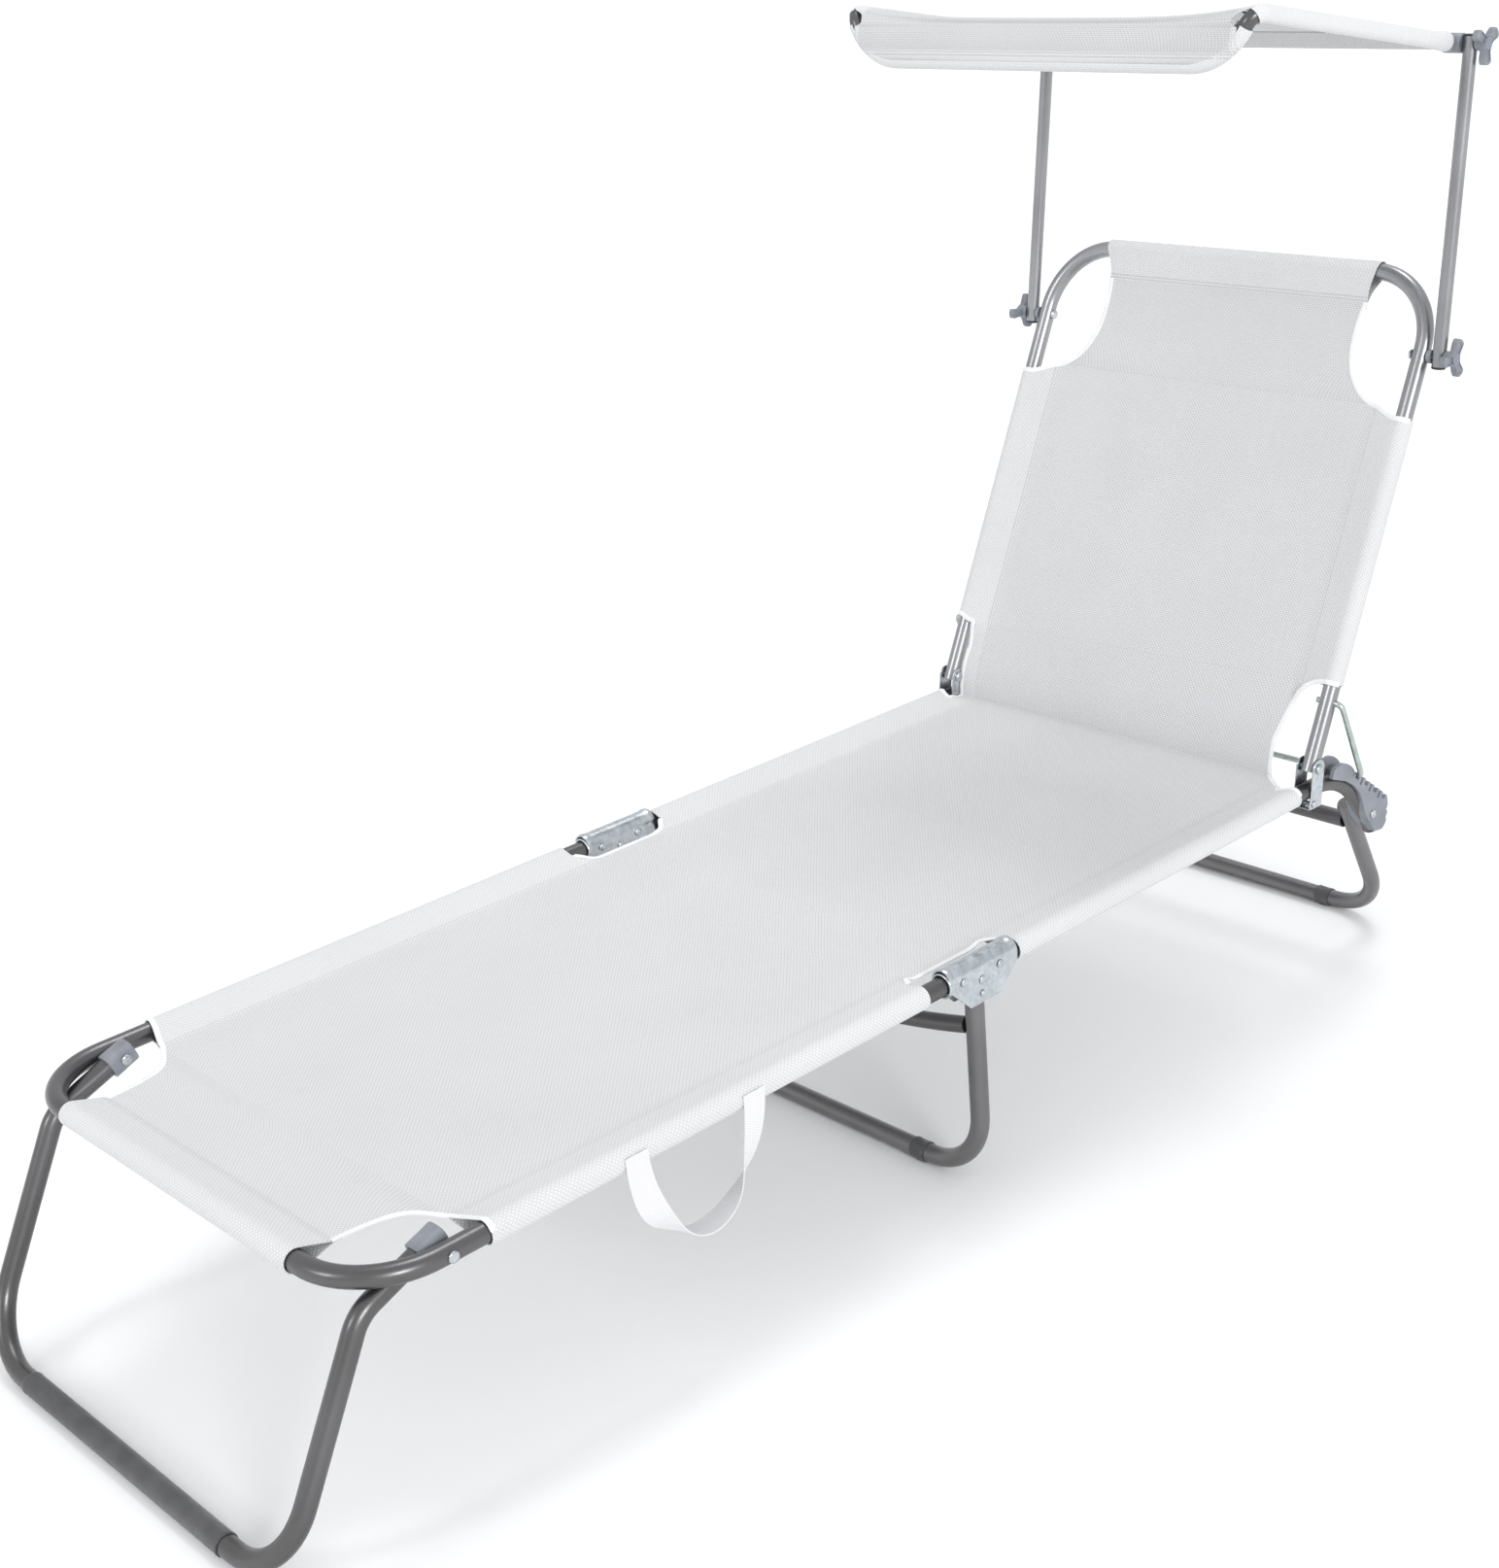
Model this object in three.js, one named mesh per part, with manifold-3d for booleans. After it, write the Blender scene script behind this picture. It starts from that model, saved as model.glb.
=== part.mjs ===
// Folding sun lounger with a canopy: three hinged tube sections with stretched mesh cloth,
// three folding legs, a backrest held by a wire bail in toothed racks, and a canopy carried by
// two swinging arms. Millimetres, +Y towards the head, +Z up, left and right as seen from the foot.
import * as THREE from "three";
import { mergeVertices } from "three/addons/utils/BufferGeometryUtils.js";
import Module from "manifold-3d";

const wasm = await Module();
wasm.setup();

const { degToRad } = THREE.MathUtils;
const hands = [
  ["left", -1],
  ["right", 1],
];

// Overall layout
const overallWidth = 580;
const deckHeight = 250;
const footLength = 735;
const seatLength = 586;
const backLength = 583;
const backAngle = degToRad(63.73);

// Tubes and fits
const tubeDiameter = 20;
const tubeWall = 1;
const gap = 0.3;
const overrun = 3;
const closeEnough = 1e-6;
const pipeSides = 12;
const boreSides = 6;
const bendSteps = 5;
const tubeRadius = tubeDiameter / 2;
const railX = overallWidth / 2 - tubeRadius;

// Rivets
const rivetRadius = 3;
const rivetHeadRadius = 5.5;
const rivetHeadHeight = 2.4;
const rivetDomeShare = 0.6;
const rivetShoulderShare = 0.45;
const plugDomeShare = 0.75;
const pinSides = 8;

// Middle bracket and its two folds
const foldSpacing = 54;
const railOverhang = 6;
const bracketLength = 106;
const bracketFootLength = 46;
const bracketDrop = 32;
const bracketRise = 16.5;
const bracketSheet = 1.8;

// Foot section
const footCornerRadius = 80;
const footLegPivotY = 88;

// Foot leg
const footLegInset = 23;
const footLegReach = 183.4;
const footLegKinkReach = 76;
const footLegKinkDrop = 30;
const footLegKinkRadius = 40;
const legOverhang = 8;
const legCornerRadius = 72;
const floorBarHeight = 12;
const floorSleeveInset = 85;
const floorSleeveWall = 1.4;
const footCapWall = 1.4;
const footCapGrip = 16;
const footCapEnd = 4;
const footCapShoulderShare = 0.8;
const footLegX = railX - footLegInset;
const footSleeveLength = 2 * (footLegX - floorSleeveInset);

// Floor pads under the leg sleeves
const padLength = 14;
const padWidth = 9;
const padInset = 3;
const gliderLength = 20;
const gliderInset = 4;

// Middle leg
const midLegTopRise = 4;
const midBraceDiameter = 18;
const midBraceDrop = 65;
const midBraceBow = 35;
const midBraceSteps = 8;

// Rear end of the seat rails
const railTailSetback = 7;
const railTailRadius = 108;
const railTailAngle = degToRad(55);
const railTailStraight = 53;
const railPlugEnd = 5;
const railPlugSpigot = 8;
const railTailStart = seatLength + railTailSetback;

// Rear leg
const rearLegInset = 21.5;
const rearPivotAlong = 25;
const rearLegReach = 82.7;
const rearBraceDrop = 24;
const rearLegX = railX - rearLegInset;

// Backrest hinge bracket
const hingeRise = 26.6;
const hingeBoltRadius = 4;
const hingeBoltHeadRadius = 6.5;
const hingeBoltHeadHeight = 4;
const hingeSheet = 1.7;
const hingeEarRadius = 11.4;
const hingeBracketDrop = 46;
const hingeBracketLean = 7;
const hingeRivetAhead = 10;
const hingeRivetDrop = 40.4;
const hingeRivetRadius = 2.4;

// Backrest
const backCornerRadius = 85;
const backReclinedAngle = degToRad(14.1);
const armAxisSetback = 93;
const armAxisAlong = backLength - armAxisSetback;

// Bail that props the backrest
const wireDiameter = 7;
const wireSides = 8;
const bailPivotAlong = 78;
const bailArmOutset = 18.6;
const bailBendRadius = 8;
const bailPinInset = 14;
const firstNotchAlong = 66.3;
const notchHeight = 16;
const lastNotchOut = 58.4;
const wireRadius = wireDiameter / 2;
const bailArmX = railX + bailArmOutset;
const bailPinEnd = railX - bailPinInset;

// Racks that hold the bail
const rackInset = 10.7;
const rackOutset = 14;
const notchCount = 4;
const toothClearance = 0.6;
const notchHalfWidth = 3.2;
const rackEndOut = 6;
const rackHeadShares = [
  [0.108, 0.74],
  [0.115, 1.88],
  [0.166, 2.64],
  [0.223, 2.97],
  [0.292, 2.8],
  [0.352, 2.27],
  [0.398, 1.38],
];
const rackSkirtShares = [
  [0.97, -0.92],
  [0.75, -0.92],
  [0.62, -0.4],
  [0.42, 0.3],
  [0.17, 0.5],
];
const toothTipShares = [0.34, 0.62];
const rackInnerX = railX - rackInset;
const rackOuterX = railX + rackOutset;

// Mesh cloth of the deck
const clothThickness = 1.4;
const sleeveWall = 1.2;
const sideSeam = 44;
const seamOverlap = 8;
const sleeveArcSteps = 9;
const footSleeveInset = 90;
const footSeam = 38;
const footSleeveStart = 130;
const footCutInset = 67;
const footCutY = 109;
const footSlotLength = 75;
const seatSlotLength = 59;
const slotInset = 32;
const seatSleeveSetback = 34;
const foldInset = 52;
const foldDrop = 24;
const foldTuck = degToRad(28.7);
const backSleeveStart = 98;
const backSleeveSetback = 158;
const backCutInset = 90;
const backCutSetback = 83;
const curveSteps = 4;
const footSleeveHalf = railX - footSleeveInset;
const footCutX = railX - footCutInset;
const footSlotStart = footLength - footSlotLength;
const slotEdgeX = railX - slotInset;
const seatSleeveEnd = seatLength - seatSleeveSetback;
const foldHalfWidth = railX - foldInset;
const backSleeveEnd = backLength - backSleeveSetback;
const backCutX = railX - backCutInset;
const backCutAlong = backLength - backCutSetback;

// Carry strap
const strapWidth = 30;
const strapThickness = 1.2;
const strapStartY = 283;
const strapEndY = 423;
const strapDrop = 108;
const strapSewnRise = 6;
const strapSteps = 20;

// Canopy arms
const armDiameter = 16;
const armWall = 1;
const armOutset = 24.3;
const armLength = 345.5;
const armLean = degToRad(8.15);
const armTail = 11;
const armHead = 7;
const armSides = 12;
const armPlugEnd = 3;
const armPlugSpigot = 7;
const spacerRadius = 8;
const armRadius = armDiameter / 2;
const armX = railX + armOutset;

// Canopy
const canopyTubeOutset = 2;
const canopyBendReach = 375;
const canopyBendRise = 68;
const canopyFrontReach = 382;
const canopyFrontRise = 16;
const canopyFrontInset = 32;
const canopyBendRadius = 16;
const canopyLegStraight = 2;
const canopyTubeStart = 10;
const canopyBarDiameter = 12;
const canopyBarReach = 8;
const canopyClothThickness = 1.4;
const canopySag = 17;
const canopySagPower = 5;
const canopyHemAngle = degToRad(120);
const canopyHemSteps = 3;
const canopyColumns = 12;
const canopyRunRows = 5;
const canopyClothStart = 26;
const canopyRearInset = 20;
const canopyRearRows = 2;
const jointEyeRadius = 11;
const jointInset = 10;
const jointSocketLength = 26;
const jointSocketWall = 1.8;
const canopyTubeX = railX + canopyTubeOutset;
const canopyRearHalf = canopyTubeX - canopyRearInset;
const jointInnerX = canopyTubeX - jointInset;

// Wing knobs and their bolts
const knobHubRadius = 8.5;
const knobLobeReach = 15.17;
const knobLobes = 3;
const lowerKnobTurn = degToRad(180);
const upperKnobTurn = degToRad(-90);
const knobPoints = 24;
const knobThickness = 9;
const knobCollarLength = 5;
const boltRadius = 3;
const boltHeadRadius = 6;
const boltHeadHeight = 3.5;
const boltThreadInKnob = 9;
const studInJoint = 14;

const steel = { color: 0x77767a, metalness: 0.85, roughness: 0.38 };
const materials = {
  tube: new THREE.MeshStandardMaterial(steel),
  zinc: new THREE.MeshStandardMaterial({ color: 0xb9c0c4, metalness: 0.9, roughness: 0.35 }),
  wire: new THREE.MeshStandardMaterial({ color: 0x96a39c, metalness: 0.8, roughness: 0.35 }),
  grey: new THREE.MeshStandardMaterial({ color: 0x7d828c, metalness: 0, roughness: 0.5 }),
  black: new THREE.MeshStandardMaterial({ color: 0x1d1e20, metalness: 0, roughness: 0.6 }),
  sleeve: new THREE.MeshStandardMaterial({ color: 0x4c4b4d, metalness: 0, roughness: 0.55 }),
  cloth: new THREE.MeshStandardMaterial({ color: 0xe6e6e4, metalness: 0, roughness: 0.9 }),
  webbing: new THREE.MeshStandardMaterial({ color: 0xf2f1f4, metalness: 0, roughness: 0.85 }),
};

const at = (x, y, z) => new THREE.Vector3(x, y, z);

// Signed volume of a closed mesh; negative when its faces point inwards.
function signedVolume(geometry) {
  const spots = geometry.getAttribute("position");
  const corner = [at(0, 0, 0), at(0, 0, 0), at(0, 0, 0)];
  let total = 0;
  for (let i = 0; i < geometry.index.count; i += corner.length) {
    corner.forEach((c, k) => c.fromBufferAttribute(spots, geometry.index.getX(i + k)));
    total += corner[0].dot(corner[1].cross(corner[2]));
  }
  return total;
}

// A copy with shared corners merged and every face pointing out.
function facingOut(geometry) {
  const bare = geometry.clone();
  bare.deleteAttribute("normal");
  bare.deleteAttribute("uv");
  const merged = mergeVertices(bare);
  if (signedVolume(merged) < 0) {
    const list = merged.index.array;
    for (let i = 0; i < list.length; i += 3) {
      [list[i + 1], list[i + 2]] = [list[i + 2], list[i + 1]];
    }
  }
  return merged;
}

function solidOf(geometry) {
  const closed = facingOut(geometry);
  const vertProperties = closed.getAttribute("position").array;
  const triVerts = new Uint32Array(closed.index.array);
  return new wasm.Manifold(new wasm.Mesh({ numProp: 3, vertProperties, triVerts }));
}

function geometryOf(solid) {
  const mesh = solid.getMesh();
  const geometry = new THREE.BufferGeometry();
  geometry.setAttribute("position", new THREE.BufferAttribute(mesh.vertProperties, 3));
  geometry.setIndex(new THREE.BufferAttribute(mesh.triVerts, 1));
  return geometry;
}

function join(...geometries) {
  return geometryOf(geometries.map(solidOf).reduce((whole, next) => whole.add(next)));
}

function cut(geometry, ...cutters) {
  return geometryOf(cutters.map(solidOf).reduce((rest, next) => rest.subtract(next), solidOf(geometry)));
}

// A route of straight runs joined by round bends, with stations only where the direction changes.
class BentRoute extends THREE.Curve {
  constructor(corners, radii) {
    super();
    this.points = [];
    this.tangents = [];
    const last = corners.length - 1;
    this.station(corners[0], corners[1].clone().sub(corners[0]).normalize());
    for (let i = 1; i < last; i += 1) {
      this.bend(corners[i - 1], corners[i], corners[i + 1], radii[i - 1]);
    }
    this.station(corners[last], corners[last].clone().sub(corners[last - 1]).normalize());
  }

  station(point, tangent) {
    this.points.push(point.clone());
    this.tangents.push(tangent.clone());
  }

  bend(before, corner, after, radius) {
    const incoming = corner.clone().sub(before).normalize();
    const outgoing = after.clone().sub(corner).normalize();
    const turn = incoming.angleTo(outgoing);
    const axis = incoming.clone().cross(outgoing).normalize();
    const start = corner.clone().addScaledVector(incoming, -radius * Math.tan(turn / 2));
    const inward = axis.clone().cross(incoming);
    const centre = start.clone().addScaledVector(inward, radius);
    for (let k = 0; k <= bendSteps; k += 1) {
      const angle = (turn * k) / bendSteps;
      const spoke = inward.clone().multiplyScalar(-radius).applyAxisAngle(axis, angle);
      this.station(spoke.add(centre), incoming.clone().applyAxisAngle(axis, angle));
    }
  }

  between(list, t, target) {
    const place = t * (list.length - 1);
    const index = Math.min(Math.floor(place), list.length - 2);
    return target.copy(list[index]).lerp(list[index + 1], place - index);
  }

  getPoint(t, target = at(0, 0, 0)) {
    return this.between(this.points, t, target);
  }

  getTangent(t, target = at(0, 0, 0)) {
    return this.between(this.tangents, t, target).normalize();
  }

  getUtoTmapping(u) {
    return u;
  }
}

function circle(radius, sides) {
  const angles = Array.from({ length: sides }, (_, i) => (2 * Math.PI * i) / sides);
  return angles.map((angle) => new THREE.Vector2(radius * Math.cos(angle), radius * Math.sin(angle)));
}

// A tube along a route; with no wall it is solid.
function pipe(route, radius, wall, sides) {
  const section = new THREE.Shape(circle(radius, sides));
  if (wall > 0) section.holes.push(new THREE.Path(circle(radius - wall, boreSides)));
  const steps = route.points.length - 1;
  return new THREE.ExtrudeGeometry(section, { steps, bevelEnabled: false, extrudePath: route });
}

// A round bar along X between two places.
function barAlongX(fromX, toX, y, z, radius, sides) {
  const bar = new THREE.CylinderGeometry(radius, radius, Math.abs(toX - fromX), sides);
  return bar.rotateZ(Math.PI / 2).translate((fromX + toX) / 2, y, z);
}

// A turned piece along X from its profile of [radius, place] pairs.
function turnedAlongX(profile, sides) {
  const points = profile.map(([radius, place]) => new THREE.Vector2(radius, place));
  return new THREE.LatheGeometry(points, sides).rotateZ(-Math.PI / 2);
}

// A rivet on the X axis whose two domed heads grip what lies between two places.
function rivet(fromX, toX, radius) {
  const dome = rivetHeadRadius * rivetDomeShare;
  const shoulder = rivetHeadHeight * rivetShoulderShare;
  return turnedAlongX(
    [
      [0, fromX - rivetHeadHeight],
      [dome, fromX - rivetHeadHeight],
      [rivetHeadRadius, fromX - shoulder],
      [rivetHeadRadius, fromX],
      [radius, fromX],
      [radius, toX],
      [rivetHeadRadius, toX],
      [rivetHeadRadius, toX + shoulder],
      [dome, toX + rivetHeadHeight],
      [0, toX + rivetHeadHeight],
    ],
    pinSides,
  );
}

// A plug for a tube's end along X: a domed flange outside and a spigot inside.
function endPlug(flangeRadius, boreRadius, flange, spigot) {
  const dome = flangeRadius * plugDomeShare;
  return turnedAlongX(
    [
      [0, -spigot],
      [boreRadius - gap, -spigot],
      [boreRadius - gap, gap],
      [flangeRadius, gap],
      [flangeRadius, flange / 2],
      [dome, flange],
      [0, flange],
    ],
    pipeSides,
  );
}

// The corner radius of a hole of few sides whose flats still clear a pin.
const clearBore = (radius, sides) => (radius + gap) / Math.cos(Math.PI / sides);

// The flat of a bore cut with few sides is nearer than its corners.
const boreFlat = (radius, wall) => (radius - wall) * Math.cos(Math.PI / boreSides);

function piece(group, name, geometry, material, place = at(0, 0, 0), turn = at(0, 0, 0)) {
  const mesh = new THREE.Mesh(facingOut(geometry), material);
  mesh.name = name;
  mesh.position.copy(place);
  mesh.rotation.set(turn.x, turn.y, turn.z);
  group.add(mesh);
  return mesh;
}

function subgroup(parent, y, z, turn = 0) {
  const group = new THREE.Group();
  group.position.set(0, y, z);
  group.rotation.x = turn;
  parent.add(group);
  return group;
}

// A hole along X that clears a pin of a radius.
function holeAlongX(fromX, toX, y, z, radius) {
  return barAlongX(fromX, toX, y, z, clearBore(radius, pinSides), pinSides);
}

// Holes through both walls of the tubes at X = plus and minus x.
function sideHoles(x, y, z, radius) {
  const reach = tubeRadius + overrun;
  return hands.map(([, hand]) => holeAlongX(hand * (x - reach), hand * (x + reach), y, z, radius));
}

// A floor sleeve round a bar along X, with a flat pad under it at the floor.
function floorSleeve(fromX, toX, padX) {
  const outer = tubeRadius + gap + floorSleeveWall;
  const body = barAlongX(fromX, toX, 0, 0, outer, pipeSides);
  const pad = new THREE.BoxGeometry(padLength, padWidth, floorBarHeight);
  const pads = padX.map((x) => pad.clone().translate(x, 0, -floorBarHeight / 2));
  const bore = barAlongX(fromX - overrun, toX + overrun, 0, 0, clearBore(tubeRadius, pipeSides), pipeSides);
  return cut(join(body, ...pads), bore);
}

// Outline of a half turn of cloth round a tube, drawn together at a seam on the +X side.
function teardrop(radius, seam, seamHalf) {
  const start = Math.acos(radius / seam);
  const points = [new THREE.Vector2(seam, -seamHalf)];
  if (seamHalf > 0) points.push(new THREE.Vector2(seam, seamHalf));
  for (let k = 0; k <= sleeveArcSteps; k += 1) {
    const angle = start + ((2 * Math.PI - 2 * start) * k) / sleeveArcSteps;
    points.push(new THREE.Vector2(radius * Math.cos(angle), radius * Math.sin(angle)));
  }
  return points;
}

// A sewn sleeve along Y round a tube at the origin, with its seam towards +X.
function sleeveAlongY(fromY, toY, seam) {
  const inner = clearBore(tubeRadius, 2 * sleeveArcSteps);
  const section = new THREE.Shape(teardrop(inner + sleeveWall, seam, clothThickness / 2));
  section.holes.push(new THREE.Path(teardrop(inner, seam - seamOverlap, 0)));
  const sleeve = new THREE.ExtrudeGeometry(section, { depth: toY - fromY, bevelEnabled: false });
  return sleeve.rotateX(-Math.PI / 2).translate(0, fromY, 0);
}

// A flat cloth panel, the same on both sides of the middle, from the path of its right-hand edge.
function clothPanel(rightEdge) {
  const right = rightEdge.getPoints(curveSteps);
  const left = right.map((p) => new THREE.Vector2(-p.x, p.y)).reverse();
  const shape = new THREE.Shape([...right, ...left]);
  const panel = new THREE.ExtrudeGeometry(shape, { depth: clothThickness, bevelEnabled: false });
  return panel.translate(0, 0, -clothThickness / 2);
}

function sideSleeves(fromY, toY) {
  const right = sleeveAlongY(fromY, toY, sideSeam);
  const mirrored = sleeveAlongY(fromY, toY, sideSeam).scale(-1, 1, 1);
  return [right.translate(-railX, 0, 0), mirrored.translate(railX, 0, 0)];
}

// A sewn sleeve along X round a cross tube, with its seam towards +Y, or -Y when turned over.
function crossSleeve(half, seam, towards) {
  return sleeveAlongY(-half, half, seam).rotateZ((towards * Math.PI) / 2);
}

// Foot section: a U of tube, its cloth, the carry strap and the folding leg below it.
function footFrame() {
  const end = footLength - foldSpacing / 2 + railOverhang;
  const corners = [at(-railX, end, 0), at(-railX, 0, 0), at(railX, 0, 0), at(railX, end, 0)];
  const route = new BentRoute(corners, [footCornerRadius, footCornerRadius]);
  const foldHoles = sideHoles(railX, footLength - foldSpacing / 2, 0, rivetRadius);
  const legHoles = sideHoles(railX, footLegPivotY, 0, rivetRadius);
  return cut(pipe(route, tubeRadius, tubeWall, pipeSides), ...foldHoles, ...legHoles);
}

function footCloth() {
  const seamX = railX - sideSeam;
  const edge = new THREE.Path();
  edge.moveTo(footSleeveHalf, footSeam - seamOverlap);
  edge.quadraticCurveTo(footSleeveHalf + gap, footCutY - footSeam / 2, footCutX, footCutY);
  edge.quadraticCurveTo(seamX - seamOverlap, footSleeveStart, seamX + seamOverlap, footSleeveStart + gap);
  edge.lineTo(seamX + seamOverlap, footSlotStart);
  edge.lineTo(slotEdgeX, footSlotStart + seamOverlap);
  edge.lineTo(slotEdgeX, footLength - gap);
  const sleeves = sideSleeves(footSleeveStart, footSlotStart);
  return join(clothPanel(edge), ...sleeves, crossSleeve(footSleeveHalf, footSeam, 1));
}

// Place and frame of the strap at a share of its length: down, across with a twist, and up again.
function strapFrame(share) {
  const middle = (strapStartY + strapEndY) / 2;
  const half = (strapEndY - strapStartY) / 2;
  const swing = Math.PI * share;
  const x = railX + tubeRadius + gap + sleeveWall + gap + strapThickness;
  const centre = at(x, middle - half * Math.cos(swing), strapSewnRise - strapDrop * Math.sin(swing));
  const tangent = at(0, half * Math.sin(swing), -strapDrop * Math.cos(swing)).normalize();
  const flat = at(1, 0, 0).cross(tangent);
  const twist = Math.sin(swing) ** 2;
  const across = flat.multiplyScalar(1 - twist).add(at(twist, 0, 0)).normalize();
  return { centre, across, through: tangent.clone().cross(across).normalize() };
}

// A ribbon with a rectangular section through the strap's frames.
function strapRibbon() {
  const spots = [];
  const index = [];
  const ring = 4;
  const signs = [
    [-1, -1],
    [1, -1],
    [1, 1],
    [-1, 1],
  ];
  for (let i = 0; i <= strapSteps; i += 1) {
    const { centre, across, through } = strapFrame(i / strapSteps);
    for (const [a, b] of signs) {
      const corner = centre.clone().addScaledVector(across, (a * strapWidth) / 2);
      spots.push(...corner.addScaledVector(through, (b * strapThickness) / 2).toArray());
    }
  }
  for (let i = 0; i < strapSteps; i += 1) {
    for (let k = 0; k < ring; k += 1) {
      const a = i * ring + k;
      const b = i * ring + ((k + 1) % ring);
      index.push(a, b, b + ring, a, b + ring, a + ring);
    }
  }
  const end = strapSteps * ring;
  index.push(0, 2, 1, 0, 3, 2, end, end + 1, end + 2, end, end + 2, end + 3);
  const ribbon = new THREE.BufferGeometry();
  ribbon.setAttribute("position", new THREE.Float32BufferAttribute(spots, 3));
  ribbon.setIndex(index);
  return ribbon;
}

function footLegRoute() {
  const slope = Math.atan2(footLegKinkDrop, footLegKinkReach);
  const end = at(footLegX, legOverhang * Math.cos(slope), legOverhang * Math.sin(slope));
  const kink = at(footLegX, -footLegKinkReach, -footLegKinkDrop);
  const floor = at(footLegX, -footLegReach, floorBarHeight - deckHeight);
  const right = [end, kink, floor];
  const left = right.map((p) => at(-p.x, p.y, p.z)).reverse();
  const radii = [footLegKinkRadius, legCornerRadius, legCornerRadius, footLegKinkRadius];
  return new BentRoute([...right, ...left], radii);
}

// The cap on the top end of a foot leg tube, bored for the tube and cross drilled for the rivet.
function footLegCap() {
  const outer = tubeRadius + gap + footCapWall;
  const shoulder = outer * footCapShoulderShare;
  const body = turnedAlongX(
    [
      [0, -footCapGrip],
      [outer, -footCapGrip],
      [outer, legOverhang + footCapEnd / 2],
      [shoulder, legOverhang + gap + footCapEnd],
      [0, legOverhang + gap + footCapEnd],
    ],
    pipeSides,
  );
  const bore = barAlongX(
    -footCapGrip - overrun,
    legOverhang + gap,
    0,
    0,
    clearBore(tubeRadius, pipeSides),
    pipeSides,
  );
  const reach = outer + overrun;
  const crossRadius = clearBore(rivetRadius, pinSides);
  const cross = new THREE.CylinderGeometry(crossRadius, crossRadius, 2 * reach, pinSides);
  return cut(body, bore, cross);
}

function addFootSection(parent) {
  const section = subgroup(parent, 0, deckHeight);
  piece(section, "foot_frame", footFrame(), materials.tube);
  piece(section, "foot_fabric", footCloth(), materials.cloth);
  piece(section, "carry_strap", strapRibbon(), materials.webbing);
  const leg = subgroup(section, footLegPivotY, 0);
  const tube = pipe(footLegRoute(), tubeRadius, tubeWall, pipeSides);
  piece(leg, "foot_leg", cut(tube, ...sideHoles(footLegX, 0, 0, rivetRadius)), materials.tube);
  const half = footSleeveLength / 2;
  const padX = half - padLength / 2 - padInset;
  const floor = at(0, -footLegReach, floorBarHeight - deckHeight);
  piece(leg, "foot_leg_sleeve", floorSleeve(-half, half, [-padX, padX]), materials.sleeve, floor);
  const slope = Math.atan2(footLegKinkDrop, footLegKinkReach);
  for (const [hand, sign] of hands) {
    const turned = footLegCap().rotateZ(Math.PI / 2).rotateX(slope);
    piece(leg, `foot_leg_cap_${hand}`, turned, materials.grey, at(sign * footLegX, 0, 0));
    const inner = footLegX - tubeRadius - gap - footCapWall - 2 * gap;
    const pin = rivet(inner, railX + tubeRadius + gap, rivetRadius);
    piece(leg, `foot_leg_rivet_${hand}`, sign > 0 ? pin : pin.rotateZ(Math.PI), materials.zinc);
  }
}

// Middle bracket: an inverted channel over the two rail ends, its flanges cut to a trapezoid.
function middleBracket() {
  const inner = tubeRadius + 2 * gap;
  const outer = inner + bracketSheet;
  const shoulder = bracketRise - outer;
  const section = new THREE.Shape();
  section.moveTo(-outer, -bracketDrop);
  section.lineTo(-outer, shoulder);
  section.absarc(0, shoulder, outer, Math.PI, 0, true);
  section.lineTo(outer, -bracketDrop);
  section.lineTo(inner, -bracketDrop);
  section.lineTo(inner, shoulder);
  section.absarc(0, shoulder, inner, 0, Math.PI, false);
  section.lineTo(-inner, -bracketDrop);
  const options = { depth: bracketLength, bevelEnabled: false, curveSegments: pinSides };
  const channel = new THREE.ExtrudeGeometry(section, options);
  channel.rotateX(Math.PI / 2).translate(0, bracketLength / 2, 0);
  const holes = [-1, 1].map((end) =>
    holeAlongX(-outer - overrun, outer + overrun, (end * foldSpacing) / 2, 0, rivetRadius),
  );
  return cut(channel, ...holes, ...bracketCorners(outer + overrun));
}

// The two wedges that turn the square flanges of a channel into a trapezoid.
function bracketCorners(reach) {
  const half = bracketLength / 2;
  return [-1, 1].map((end) => {
    const wedge = new THREE.Shape();
    wedge.moveTo(end * (half + overrun), -tubeRadius / 2);
    wedge.lineTo(end * half, -tubeRadius / 2);
    wedge.lineTo((end * bracketFootLength) / 2, -bracketDrop);
    wedge.lineTo((end * bracketFootLength) / 2, -bracketDrop - overrun);
    wedge.lineTo(end * (half + overrun), -bracketDrop - overrun);
    const block = new THREE.ExtrudeGeometry(wedge, { depth: 2 * reach, bevelEnabled: false });
    return block.rotateX(Math.PI / 2).rotateZ(Math.PI / 2).translate(-reach, 0, 0);
  });
}

function midLegTube() {
  const floor = floorBarHeight - deckHeight;
  const corners = [at(-railX, 0, midLegTopRise), at(-railX, 0, floor)];
  corners.push(at(railX, 0, floor), at(railX, 0, midLegTopRise));
  const route = new BentRoute(corners, [legCornerRadius, legCornerRadius]);
  return pipe(route, tubeRadius, tubeWall, pipeSides);
}

// The brace bows down between the legs as a parabola.
function midBrace() {
  const half = railX - tubeRadius - gap;
  const points = [];
  for (let k = 0; k <= midBraceSteps; k += 1) {
    const share = (2 * k) / midBraceSteps - 1;
    points.push(at(half * share, 0, -midBraceDrop - midBraceBow * (1 - share * share)));
  }
  const route = new BentRoute([points[0], points[midBraceSteps]], []);
  route.points = points;
  const slope = (4 * midBraceBow) / (2 * half);
  route.tangents = points.map((p) => at(1, 0, (slope * p.x) / half).normalize());
  route.tangents[0] = at(1, 0, 0);
  route.tangents[midBraceSteps] = at(1, 0, 0);
  return pipe(route, midBraceDiameter / 2, tubeWall, pipeSides);
}

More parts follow.
